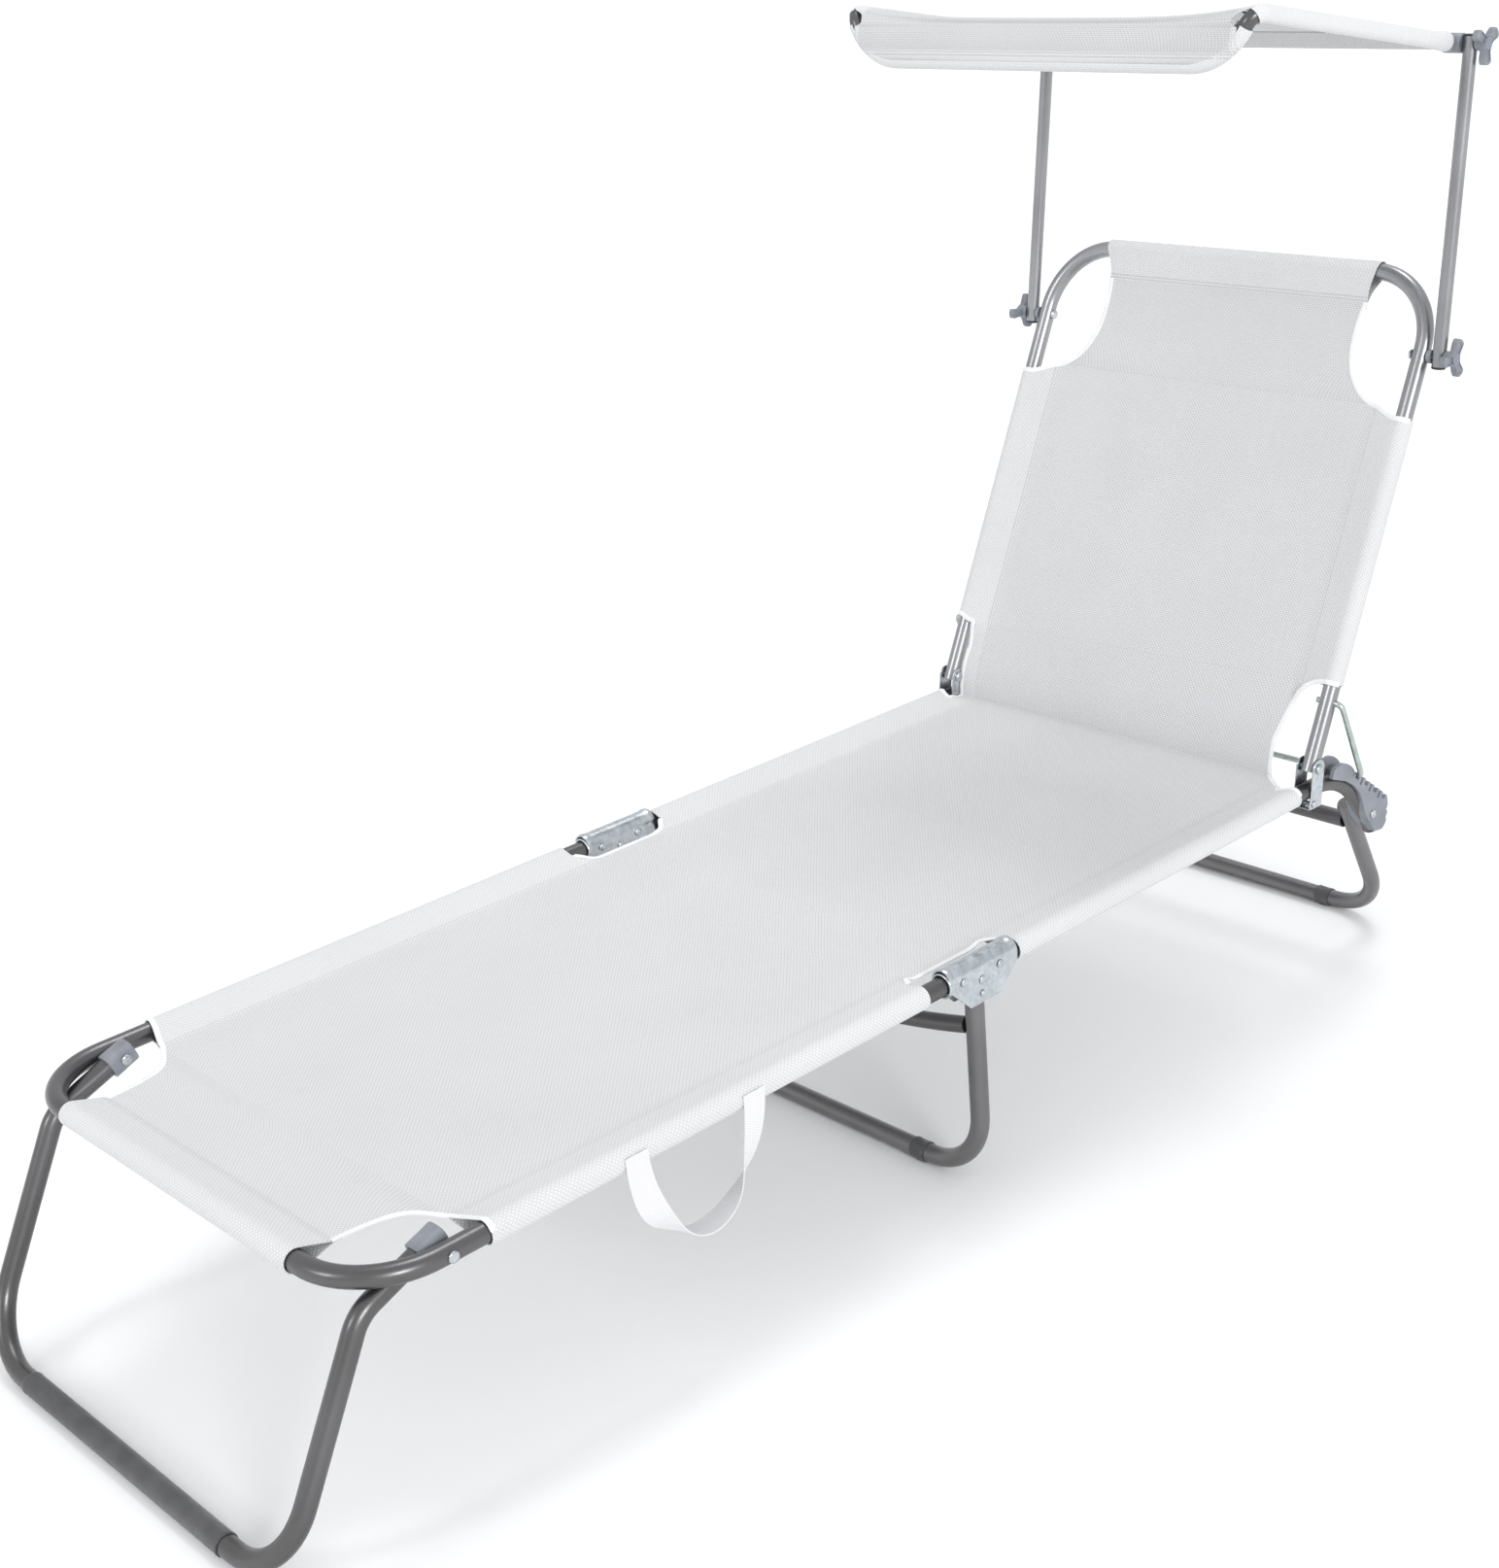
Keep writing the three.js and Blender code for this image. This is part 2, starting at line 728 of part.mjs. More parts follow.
function addMidLeg(parent) {
  const group = subgroup(parent, footLength, deckHeight);
  piece(group, "mid_leg", midLegTube(), materials.tube);
  piece(group, "mid_leg_brace", midBrace(), materials.tube);
  const grip = tubeRadius + 2 * gap + bracketSheet + gap;
  const end = railX - legCornerRadius - gliderInset;
  const start = end - gliderLength;
  for (const [hand, sign] of hands) {
    const place = at(sign * railX, 0, 0);
    piece(group, `mid_bracket_${hand}`, middleBracket(), materials.zinc, place);
    for (const [which, way] of [["foot", -1], ["seat", 1]]) {
      const spot = at(sign * railX, (way * foldSpacing) / 2, 0);
      piece(group, `fold_rivet_${which}_${hand}`, rivet(-grip, grip, rivetRadius), materials.zinc, spot);
    }
    const glider = floorSleeve(Math.min(sign * start, sign * end), Math.max(sign * start, sign * end), [
      (sign * (start + end)) / 2,
    ]);
    const floor = at(0, 0, floorBarHeight - deckHeight);
    piece(group, `mid_leg_glider_${hand}`, glider, materials.sleeve, floor);
  }
}

// A place on a seat rail's bent tail: the distance along it from the bend, and the height over it.
function onTail(along, height) {
  const arc = railTailRadius * railTailAngle;
  const angle = Math.min(along, arc) / railTailRadius;
  const radius = railTailRadius + height;
  const beyond = Math.max(0, along - arc);
  const y = railTailStart + radius * Math.sin(angle) + beyond * Math.cos(railTailAngle);
  const z = radius * Math.cos(angle) - railTailRadius - beyond * Math.sin(railTailAngle);
  return new THREE.Vector2(y, z);
}

const tailLength = railTailRadius * railTailAngle + railTailStraight;
const rearPivot = onTail(railTailRadius * railTailAngle + rearPivotAlong, 0);
const hinge = new THREE.Vector2(seatLength, hingeRise);

function seatRailRoute() {
  const reach = railTailRadius * Math.tan(railTailAngle / 2);
  const corner = at(0, railTailStart + reach, 0);
  const end = onTail(tailLength, 0);
  const start = at(0, foldSpacing / 2 - railOverhang, 0);
  return new BentRoute([start, corner, at(0, end.x, end.y)], [railTailRadius]);
}

function seatRail() {
  const reach = tubeRadius + overrun;
  const fold = holeAlongX(-reach, reach, foldSpacing / 2, 0, rivetRadius);
  const leg = holeAlongX(-reach, reach, rearPivot.x, rearPivot.y, rivetRadius);
  return cut(pipe(seatRailRoute(), tubeRadius, tubeWall, pipeSides), fold, leg);
}

function seatCloth() {
  const seamX = railX - sideSeam + seamOverlap;
  const edge = new THREE.Path();
  edge.moveTo(slotEdgeX, gap);
  edge.lineTo(slotEdgeX, seatSlotLength - seamOverlap);
  edge.lineTo(seamX, seatSlotLength);
  edge.lineTo(seamX, seatSleeveEnd - gap);
  edge.quadraticCurveTo(foldHalfWidth, seatSleeveEnd + gap, foldHalfWidth, seatLength - gap);
  return join(clothPanel(edge), ...sideSleeves(seatSlotLength, seatSleeveEnd));
}

// The bail's crossbar when the backrest has come down by a share of its range.
const firstNotch = onTail(firstNotchAlong, notchHeight);
const bailAnchor = (angle) =>
  new THREE.Vector2(Math.cos(angle), Math.sin(angle)).multiplyScalar(bailPivotAlong).add(hinge);
const bailLength = bailAnchor(backAngle).distanceTo(firstNotch);
const bailAngle = firstNotch.clone().sub(bailAnchor(backAngle)).angle() - 2 * Math.PI;
const bailReclinedAngle = -Math.acos(lastNotchOut / bailLength);

function bailBarAt(share) {
  const back = backAngle + (backReclinedAngle - backAngle) * share;
  const arm = bailAngle + (bailReclinedAngle - bailAngle) * share;
  const reach = new THREE.Vector2(Math.cos(arm), Math.sin(arm)).multiplyScalar(bailLength);
  return bailAnchor(back).add(reach);
}

// Teeth of a rack: a notch at every stop of the crossbar, and tips just under its swept path.
function rackTeeth() {
  const lastNotch = bailBarAt(1);
  const along = lastNotch.clone().sub(firstNotch).normalize();
  const down = new THREE.Vector2(along.y, -along.x);
  const points = [];
  const stops = notchCount - 1;
  for (let k = 0; k <= stops; k += 1) {
    const floor = firstNotch.clone().lerp(lastNotch, k / stops).addScaledVector(down, wireRadius + gap);
    for (const side of [-1, 1]) points.push(floor.clone().addScaledVector(along, side * notchHalfWidth));
    if (k === stops) break;
    for (const share of toothTipShares) {
      points.push(bailBarAt((k + share) / stops).addScaledVector(down, wireRadius + toothClearance));
    }
  }
  const end = lastNotch.clone().addScaledVector(along, wireRadius + rackEndOut);
  points.push(end.clone().addScaledVector(down, wireRadius - gap));
  points.push(end.clone().addScaledVector(along, rackEndOut / 2).addScaledVector(down, tubeRadius));
  return points;
}

function rack() {
  const shared = ([along, height]) => onTail(along * tailLength, height * tubeRadius);
  const outline = [...rackHeadShares.map(shared), ...rackTeeth(), ...rackSkirtShares.map(shared)];
  const width = rackOuterX - rackInnerX;
  const block = new THREE.ExtrudeGeometry(new THREE.Shape(outline), { depth: width, bevelEnabled: false });
  block.rotateX(Math.PI / 2).rotateZ(Math.PI / 2).translate(rackInnerX - railX, 0, 0);
  const groove = pipe(seatRailRoute(), clearBore(tubeRadius, pipeSides), 0, pipeSides);
  const reach = width + overrun;
  return cut(block, groove, holeAlongX(-reach, reach, rearPivot.x, rearPivot.y, rivetRadius));
}

// Hinge bracket: a folded strap under the rail whose two ears rise beside the backrest tube.
function hingeBracket() {
  const inner = tubeRadius + gap;
  const outer = inner + hingeSheet;
  const ear = new THREE.Shape();
  ear.moveTo(hingeEarRadius, 0);
  ear.absarc(0, 0, hingeEarRadius, 0, Math.PI, false);
  ear.lineTo(-hingeEarRadius - hingeBracketLean, hingeRivetRadius - hingeBracketDrop);
  ear.lineTo(hingeRivetRadius - hingeEarRadius, -hingeBracketDrop);
  ear.lineTo(hingeEarRadius - hingeBracketLean, -hingeBracketDrop);
  const options = { depth: 2 * outer, bevelEnabled: false, curveSegments: pinSides };
  const block = new THREE.ExtrudeGeometry(ear, options);
  block.rotateX(Math.PI / 2).rotateZ(Math.PI / 2).translate(-outer, 0, 0);
  const height = 2 * hingeBracketDrop;
  const slot = new THREE.BoxGeometry(2 * inner, height, height);
  slot.translate(0, 0, height / 2 - hingeBracketDrop + hingeSheet);
  const reach = outer + overrun;
  const bolt = holeAlongX(-reach, reach, 0, 0, hingeBoltRadius);
  const low = holeAlongX(-reach, reach, -hingeRivetAhead, -hingeRivetDrop, hingeRivetRadius);
  return cut(block, slot, bolt, low);
}

function hingeBolt() {
  const grip = tubeRadius + gap + hingeSheet + gap;
  return turnedAlongX(
    [
      [0, -grip - hingeBoltHeadHeight],
      [hingeBoltHeadRadius, -grip - hingeBoltHeadHeight],
      [hingeBoltHeadRadius, -grip],
      [hingeBoltRadius, -grip],
      [hingeBoltRadius, grip],
      [hingeBoltHeadRadius, grip],
      [hingeBoltHeadRadius, grip + hingeBoltHeadHeight / 2],
      [hingeBoltRadius, grip + hingeBoltHeadHeight / 2 + gap],
      [0, grip + hingeBoltHeadHeight / 2 + gap],
    ],
    pinSides,
  );
}

function rearLegRoute() {
  const drop = rearPivot.y + deckHeight - floorBarHeight;
  const lean = new THREE.Vector2(-rearLegReach, drop).normalize().multiplyScalar(legOverhang);
  const right = [at(rearLegX, lean.x, lean.y), at(rearLegX, rearLegReach, -drop)];
  const left = right.map((p) => at(-p.x, p.y, p.z)).reverse();
  return new BentRoute([...right, ...left], [legCornerRadius, legCornerRadius]);
}

function addRearLeg(seat) {
  const leg = subgroup(seat, rearPivot.x, rearPivot.y);
  const tube = pipe(rearLegRoute(), tubeRadius, tubeWall, pipeSides);
  piece(leg, "rear_leg", cut(tube, ...sideHoles(rearLegX, 0, 0, rivetRadius)), materials.tube);
  const drop = rearPivot.y + deckHeight - floorBarHeight;
  const lean = new THREE.Vector2(rearLegReach, -drop).normalize().multiplyScalar(rearBraceDrop);
  const half = rearLegX - tubeRadius - gap;
  const brace = pipe(new BentRoute([at(-half, 0, 0), at(half, 0, 0)], []), tubeRadius, tubeWall, pipeSides);
  piece(leg, "rear_leg_brace", brace, materials.tube, at(0, lean.x, lean.y));
  const end = rearLegX - legCornerRadius - gliderInset;
  const start = end - gliderLength;
  for (const [hand, sign] of hands) {
    const middle = (sign * (start + end)) / 2;
    const glider = floorSleeve(middle - gliderLength / 2, middle + gliderLength / 2, [middle]);
    piece(leg, `rear_leg_glider_${hand}`, glider, materials.sleeve, at(0, rearLegReach, -drop));
    const pin = rivet(rearLegX - tubeRadius - gap, rackOuterX + gap, rivetRadius);
    piece(leg, `rear_leg_rivet_${hand}`, sign > 0 ? pin : pin.rotateZ(Math.PI), materials.zinc);
  }
}

function addSeat(parent) {
  const seat = subgroup(parent, footLength, deckHeight);
  piece(seat, "seat_fabric", seatCloth(), materials.cloth);
  const end = onTail(tailLength, 0);
  for (const [hand, sign] of hands) {
    const place = at(sign * railX, 0, 0);
    piece(seat, `seat_rail_${hand}`, seatRail(), materials.tube, place);
    const mirrored = sign > 0 ? rack() : rack().scale(-1, 1, 1);
    piece(seat, `rack_${hand}`, mirrored, materials.grey, place);
    const spot = at(sign * railX, hinge.x, hinge.y);
    piece(seat, `hinge_bracket_${hand}`, hingeBracket(), materials.zinc, spot);
    const grip = tubeRadius + gap + hingeSheet + gap;
    const low = at(sign * railX, hinge.x - hingeRivetAhead, hinge.y - hingeRivetDrop);
    piece(seat, `hinge_rivet_${hand}`, rivet(-grip, grip, hingeRivetRadius), materials.zinc, low);
    const bolt = sign > 0 ? hingeBolt().rotateZ(Math.PI) : hingeBolt();
    piece(seat, `back_pivot_bolt_${hand}`, bolt, materials.zinc, spot);
    const plug = endPlug(tubeRadius, boreFlat(tubeRadius, tubeWall), railPlugEnd, railPlugSpigot);
    plug.rotateZ(Math.PI / 2);
    const turn = at(-railTailAngle, 0, 0);
    piece(seat, `rail_plug_${hand}`, plug, materials.black, at(sign * railX, end.x, end.y), turn);
  }
  addRearLeg(seat);
  return seat;
}

// Backrest: a U of tube lying along +Y from its hinge, with its cloth.
function backFrame() {
  const corners = [at(-railX, -railOverhang, 0), at(-railX, backLength, 0)];
  corners.push(at(railX, backLength, 0), at(railX, -railOverhang, 0));
  const route = new BentRoute(corners, [backCornerRadius, backCornerRadius]);
  const hingeHoles = sideHoles(railX, 0, 0, hingeBoltRadius);
  const bailHoles = sideHoles(railX, bailPivotAlong, 0, wireRadius);
  const armHoles = sideHoles(railX, armAxisAlong, 0, boltRadius);
  return cut(pipe(route, tubeRadius, tubeWall, pipeSides), ...hingeHoles, ...bailHoles, ...armHoles);
}

function backCloth() {
  const seamX = railX - sideSeam + seamOverlap;
  const topHalf = railX - backCornerRadius;
  const edge = new THREE.Path();
  edge.moveTo(foldHalfWidth, 0);
  edge.quadraticCurveTo(foldHalfWidth, backSleeveStart - gap, seamX, backSleeveStart);
  edge.lineTo(seamX, backSleeveEnd);
  edge.quadraticCurveTo(backCutX, backSleeveEnd + gap, backCutX, backCutAlong);
  edge.lineTo(topHalf, backLength - footSeam + seamOverlap);
  const tuck = new THREE.Path();
  tuck.moveTo(foldHalfWidth, -foldDrop);
  tuck.lineTo(foldHalfWidth, 0);
  const sleeves = sideSleeves(backSleeveStart, backSleeveEnd);
  const top = crossSleeve(topHalf, footSeam, -1).translate(0, backLength, 0);
  return join(clothPanel(edge), clothPanel(tuck).rotateX(foldTuck), ...sleeves, top);
}

// The bail: two arms outside the backrest tubes, pinned in them, and a crossbar in the notches.
function bail() {
  const right = [at(bailPinEnd, 0, 0), at(bailArmX, 0, 0), at(bailArmX, bailLength, 0)];
  const left = right.map((p) => at(-p.x, p.y, p.z)).reverse();
  const radii = [bailBendRadius, bailBendRadius, bailBendRadius, bailBendRadius];
  return pipe(new BentRoute([...right, ...left], radii), wireRadius, 0, wireSides);
}

// Outline of a wing knob: a round hub that swells into evenly spaced lobes.
function knobOutline() {
  const angles = Array.from({ length: knobPoints }, (_, i) => (2 * Math.PI * i) / knobPoints);
  return angles.map((angle) => {
    const lobe = ((1 + Math.cos(knobLobes * angle)) / 2) ** 2;
    const radius = knobHubRadius + knobLobeReach * lobe;
    return new THREE.Vector2(radius * Math.cos(angle), radius * Math.sin(angle));
  });
}

// A wing knob along +X whose collar starts at the origin.
function knobBody() {
  const wings = new THREE.ExtrudeGeometry(new THREE.Shape(knobOutline()), {
    depth: knobThickness,
    bevelEnabled: false,
  });
  wings.rotateY(Math.PI / 2).translate(knobCollarLength, 0, 0);
  const end = knobCollarLength + overrun;
  return join(wings, barAlongX(0, end, 0, 0, knobHubRadius, pinSides));
}

function lowerKnob() {
  return cut(knobBody(), holeAlongX(-overrun, boltThreadInKnob + gap, 0, 0, boltRadius));
}

function upperKnob() {
  const reach = armX - canopyTubeX + armRadius + gap - studInJoint + tubeRadius;
  return join(knobBody(), barAlongX(-reach, overrun, 0, 0, boltRadius, pinSides));
}

// The bolt through the backrest tube, spacer and arm into the lower knob.
function lowerBolt() {
  const head = railX - tubeRadius - gap;
  const end = armX + armRadius + gap + boltThreadInKnob;
  return turnedAlongX(
    [
      [0, head - boltHeadHeight],
      [boltHeadRadius, head - boltHeadHeight],
      [boltHeadRadius, head],
      [boltRadius, head],
      [boltRadius, end],
      [0, end],
    ],
    pinSides,
  );
}

function spacer() {
  const inner = railX + tubeRadius + gap;
  const outer = armX - armRadius - gap;
  const ring = barAlongX(inner, outer, 0, 0, spacerRadius, pipeSides);
  return cut(ring, holeAlongX(inner - overrun, outer + overrun, 0, 0, boltRadius));
}

function canopyArm() {
  const route = new BentRoute([at(0, 0, -armTail), at(0, 0, armLength + armHead)], []);
  const reach = armRadius + overrun;
  const holes = [0, armLength].map((z) => holeAlongX(-reach, reach, 0, z, boltRadius));
  return cut(pipe(route, armRadius, armWall, armSides), ...holes);
}

// Route of a canopy side tube from its joint over the bend and down to the front corner.
function canopyCorners() {
  const run = new THREE.Vector2(-canopyBendReach, canopyBendRise).setLength(canopyTubeStart);
  const right = [
    at(canopyTubeX, run.x, run.y),
    at(canopyTubeX, -canopyBendReach, canopyBendRise),
    at(canopyTubeX - canopyFrontInset, -canopyFrontReach, canopyFrontRise),
  ];
  return [...right, ...right.map((p) => at(-p.x, p.y, p.z)).reverse()];
}

// The front corners take up what the side bends leave of the visor's legs.
function canopyRoute() {
  const corners = canopyCorners();
  const [run, leg, front] = [0, 1, 2].map((k) => corners[k + 1].clone().sub(corners[k]));
  const spare = leg.length() - canopyBendRadius * Math.tan(run.angleTo(leg) / 2) - canopyLegStraight;
  const cornerRadius = spare / Math.tan(leg.angleTo(front) / 2);
  return new BentRoute(corners, [canopyBendRadius, cornerRadius, cornerRadius, canopyBendRadius]);
}

// Joins a sheet's upper and lower points into a closed shell, with a rim along its open edges.
function shell(upper, lower, triangles) {
  const count = upper.length;
  const spots = [...upper, ...lower].flatMap((p) => p.toArray());
  const index = [];
  const edges = new Map();
  for (const [a, b, c] of triangles) {
    index.push(a, b, c, count + a, count + c, count + b);
    for (const [from, to] of [[a, b], [b, c], [c, a]]) {
      const back = `${to},${from}`;
      if (edges.has(back)) {
        edges.delete(back);
      } else {
        edges.set(`${from},${to}`, [from, to]);
      }
    }
  }
  for (const [from, to] of edges.values()) {
    index.push(to, from, count + from, to, count + from, count + to);
  }
  const sheet = new THREE.BufferGeometry();
  sheet.setAttribute("position", new THREE.Float32BufferAttribute(spots, 3));
  sheet.setIndex(index);
  return sheet;
}

// The stations of the canopy cloth along one side tube: the tube's centre, the cloth's outward
// normal there, and the direction away from the canopy's middle. The first rows lie over the rear
// bar, between the joints.
function canopyStations() {
  const route = canopyRoute();
  const run = at(0, -canopyBendReach, canopyBendRise).normalize();
  const first = route.points[0].clone().addScaledVector(run, canopyClothStart);
  const half = Math.ceil(route.points.length / 2);
  const bendStart = route.points[1];
  const stations = [0, canopyTubeStart + canopyClothStart - canopyBarReach - gap].map((reach) => {
    const centre = run.clone().multiplyScalar(canopyBarReach + reach);
    return { centre: centre.setX(canopyRearHalf), tangent: run };
  });
  for (let k = 0; k < canopyRunRows; k += 1) {
    stations.push({ centre: first.clone().lerp(bendStart, k / canopyRunRows), tangent: run });
  }
  for (let i = 1; i < half; i += 1) {
    stations.push({ centre: route.points[i], tangent: route.tangents[i] });
  }
  const visor = at(0, canopyBendReach - canopyFrontReach, canopyFrontRise - canopyBendRise).normalize();
  return stations.map(({ centre, tangent }) => {
    const forward = at(0, tangent.y, tangent.z);
    const along = forward.length() > closeEnough ? forward.normalize() : visor;
    const up = at(1, 0, 0).cross(along).multiplyScalar(-1).normalize();
    return { centre, up, out: up.clone().cross(tangent).normalize() };
  });
}

// How far the cloth hangs at a share across the canopy and a share along its side tubes.
function canopyHang(across, along, bendShare) {
  const onVisor = along >= bendShare;
  const ridge = onVisor ? (1 - along) / (1 - bendShare) : Math.sin((Math.PI * along) / (2 * bendShare));
  return canopySag * ridge * (1 - Math.abs(across) ** canopySagPower);
}

function canopyCloth() {
  const stations = canopyStations();
  const rows = stations.length;
  const hemStep = canopyHemAngle / canopyHemSteps;
  const lift = (armRadius + gap) / Math.cos(hemStep / 2) + canopyClothThickness / 2;
  const sheets = [[], []];
  const sides = [1, -1];
  const lengths = stations.map(({ centre }, i) => {
    const before = stations[Math.max(0, i - 1)].centre;
    return Math.hypot(centre.y - before.y, centre.z - before.z);
  });
  const total = lengths.reduce((whole, step) => whole + step);
  const sum = (list) => list.reduce((whole, step) => whole + step);
  const toBend = canopyRearRows + canopyRunRows + Math.ceil(bendSteps / 2);
  const bendShare = sum(lengths.slice(0, toBend)) / total;
  let travelled = 0;
  stations.forEach(({ centre, up }, i) => {
    travelled += lengths[i];
    for (let j = 0; j <= canopyColumns; j += 1) {
      const across = (2 * j) / canopyColumns - 1;
      const hang = canopyHang(across, travelled / total, bendShare);
      const spot = at(centre.x * across, centre.y, centre.z).addScaledVector(up, lift - hang);
      sheets.forEach((sheet, k) =>
        sheet.push(spot.clone().addScaledVector(up, (sides[k] * canopyClothThickness) / 2)),
      );
    }
  });
  const width = canopyColumns + 1;
  const triangles = [];
  for (let i = 0; i < rows - 1; i += 1) {
    for (let j = 0; j < canopyColumns; j += 1) {
      const a = i * width + j;
      triangles.push([a, a + width, a + 1], [a + 1, a + width, a + width + 1]);
    }
  }
  addCanopyHem(stations, sheets, triangles, lift);
  return shell(sheets[0], sheets[1], triangles);
}

// The hem follows the left tube, the front bar and the right tube, and turns down round them.
function addCanopyHem(stations, sheets, triangles, lift) {
  const width = canopyColumns + 1;
  const rows = stations.length;
  const mirror = ({ centre, up, out }) => ({
    centre: at(-centre.x, centre.y, centre.z),
    up,
    out: at(-out.x, out.y, out.z),
  });
  const border = [];
  for (let i = canopyRearRows; i < rows; i += 1) {
    border.push({ node: i * width, ...mirror(stations[i]) });
  }
  const front = stations[rows - 1];
  for (let j = 1; j < canopyColumns; j += 1) {
    const across = (2 * j) / canopyColumns - 1;
    const centre = at(front.centre.x * across, front.centre.y, front.centre.z);
    border.push({ node: (rows - 1) * width + j, centre, up: front.up, out: front.out });
  }
  for (let i = rows - 1; i >= canopyRearRows; i -= 1) {
    border.push({ node: i * width + canopyColumns, ...stations[i] });
  }
  let previous = border.map(({ node }) => node);
  for (let k = 1; k <= canopyHemSteps; k += 1) {
    const angle = (canopyHemAngle * k) / canopyHemSteps;
    const ring = border.map(({ centre, up, out }) => {
      const spoke = up.clone().multiplyScalar(Math.cos(angle)).addScaledVector(out, Math.sin(angle));
      [1, -1].forEach((side, s) =>
        sheets[s].push(centre.clone().addScaledVector(spoke, lift + (side * canopyClothThickness) / 2)),
      );
      return sheets[0].length - 1;
    });
    for (let i = 0; i < ring.length - 1; i += 1) {
      triangles.push([previous[i], ring[i], previous[i + 1]], [previous[i + 1], ring[i], ring[i + 1]]);
    }
    previous = ring;
  }
}

// The moulded end of a canopy tube: an eye beside the arm and a socket over the tube's end.
function canopyJoint() {
  const slope = Math.atan2(canopyBendRise, -canopyBendReach);
  const eyeEnd = armX - armRadius - gap;
  const eye = barAlongX(jointInnerX - canopyTubeX, eyeEnd - canopyTubeX, 0, 0, jointEyeRadius, pipeSides);
  const outer = armRadius + gap + jointSocketWall;
  const socket = new THREE.CylinderGeometry(outer, outer, jointSocketLength, pipeSides);
  socket.translate(0, jointSocketLength / 2, 0).rotateX(slope);
  const boreRadius = clearBore(armRadius, pipeSides);
  const bore = new THREE.CylinderGeometry(boreRadius, boreRadius, jointSocketLength + overrun, pipeSides);
  bore.translate(0, (jointSocketLength + overrun) / 2 + canopyTubeStart - gap, 0).rotateX(slope);
  const studEnd = eyeEnd - canopyTubeX + overrun;
  const stud = holeAlongX(studEnd - studInJoint - overrun, studEnd, 0, 0, boltRadius);
  return cut(join(eye, socket), bore, stud);
}

function addCanopy(arms) {
  const canopy = new THREE.Group();
  canopy.position.set(0, 0, armLength);
  canopy.rotation.x = armLean;
  arms.add(canopy);
  piece(canopy, "canopy_frame", pipe(canopyRoute(), armRadius, armWall, armSides), materials.tube);
  piece(canopy, "canopy_fabric", canopyCloth(), materials.cloth);
  const run = new THREE.Vector2(-canopyBendReach, canopyBendRise).normalize().setLength(canopyBarReach);
  const half = jointInnerX - gap;
  const bar = pipe(
    new BentRoute([at(-half, 0, 0), at(half, 0, 0)], []),
    canopyBarDiameter / 2,
    armWall,
    armSides,
  );
  piece(canopy, "canopy_rear_bar", bar, materials.tube, at(0, run.x, run.y));
  for (const [hand, sign] of hands) {
    const joint = sign > 0 ? canopyJoint() : canopyJoint().scale(-1, 1, 1);
    piece(canopy, `canopy_joint_${hand}`, joint, materials.grey, at(sign * canopyTubeX, 0, 0));
  }
}

function addArms(back) {
  const arms = subgroup(back, armAxisAlong, 0, -backAngle - armLean);
  const knobX = armX + armRadius + gap;
  for (const [hand, sign] of hands) {
    const place = at(sign * armX, 0, 0);
    const flip = (geometry) => (sign > 0 ? geometry : geometry.rotateZ(Math.PI));
    piece(arms, `canopy_arm_${hand}`, canopyArm(), materials.tube, place);
    const bore = boreFlat(armRadius, armWall);
    const low = endPlug(armRadius, bore, armPlugEnd, armPlugSpigot).rotateY(Math.PI / 2);
    piece(arms, `arm_plug_${hand}`, low, materials.black, at(sign * armX, 0, -armTail));
    const top = endPlug(armRadius, bore, armPlugEnd, armPlugSpigot - armHead / 2).rotateY(-Math.PI / 2);
    piece(arms, `arm_cap_${hand}`, top, materials.black, at(sign * armX, 0, armLength + armHead));
    piece(arms, `arm_spacer_${hand}`, flip(spacer()), materials.grey);
    piece(arms, `lower_bolt_${hand}`, flip(lowerBolt()), materials.zinc);
    const turned = (lobe) => at(Math.PI / 2 + armLean + lobe, 0, sign > 0 ? 0 : Math.PI);
    const lower = at(sign * knobX, 0, 0);
    piece(arms, `lower_knob_${hand}`, lowerKnob(), materials.grey, lower, turned(lowerKnobTurn));
    const upper = at(sign * knobX, 0, armLength);
    piece(arms, `upper_knob_${hand}`, upperKnob(), materials.grey, upper, turned(upperKnobTurn));
  }
  addCanopy(arms);
}

function addBack(parent) {
  const back = subgroup(parent, footLength + hinge.x, deckHeight + hinge.y, backAngle);
  piece(back, "back_frame", backFrame(), materials.tube);
  piece(back, "back_fabric", backCloth(), materials.cloth);
  const wire = subgroup(back, bailPivotAlong, 0, bailAngle - backAngle);
  piece(wire, "support_bail", bail(), materials.wire);
  addArms(back);
}

// The part's origin: on the floor under the middle of its length.
function middleOfLength() {
  const front = footLegPivotY - footLegReach - tubeRadius - gap - floorSleeveWall;
  const armFootY = footLength + hinge.x + armAxisAlong * Math.cos(backAngle);
  const rearLobe = upperKnobTurn + (2 * Math.PI) / knobLobes;
  const knobReach = (knobHubRadius + knobLobeReach) * Math.cos(rearLobe);
  const rear = armFootY + armLength * Math.sin(armLean) + knobReach;
  return (front + rear) / 2;
}

function lounger() {
  const whole = new THREE.Group();
  const parts = subgroup(whole, -middleOfLength(), 0);
  addFootSection(parts);
  addMidLeg(parts);
  addSeat(parts);
  addBack(parts);
  return whole;
}

export default lounger();
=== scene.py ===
"""Sun lounger with canopy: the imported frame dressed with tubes, mesh cloth and fittings.

Shapes are worked out in layout millimetres, with Y = 0 at the foot cross tube, and are put into
the part's frame, in metres, when their mesh is made.
"""

import math

import bmesh
import bpy
import numpy as np
from mathutils import Matrix


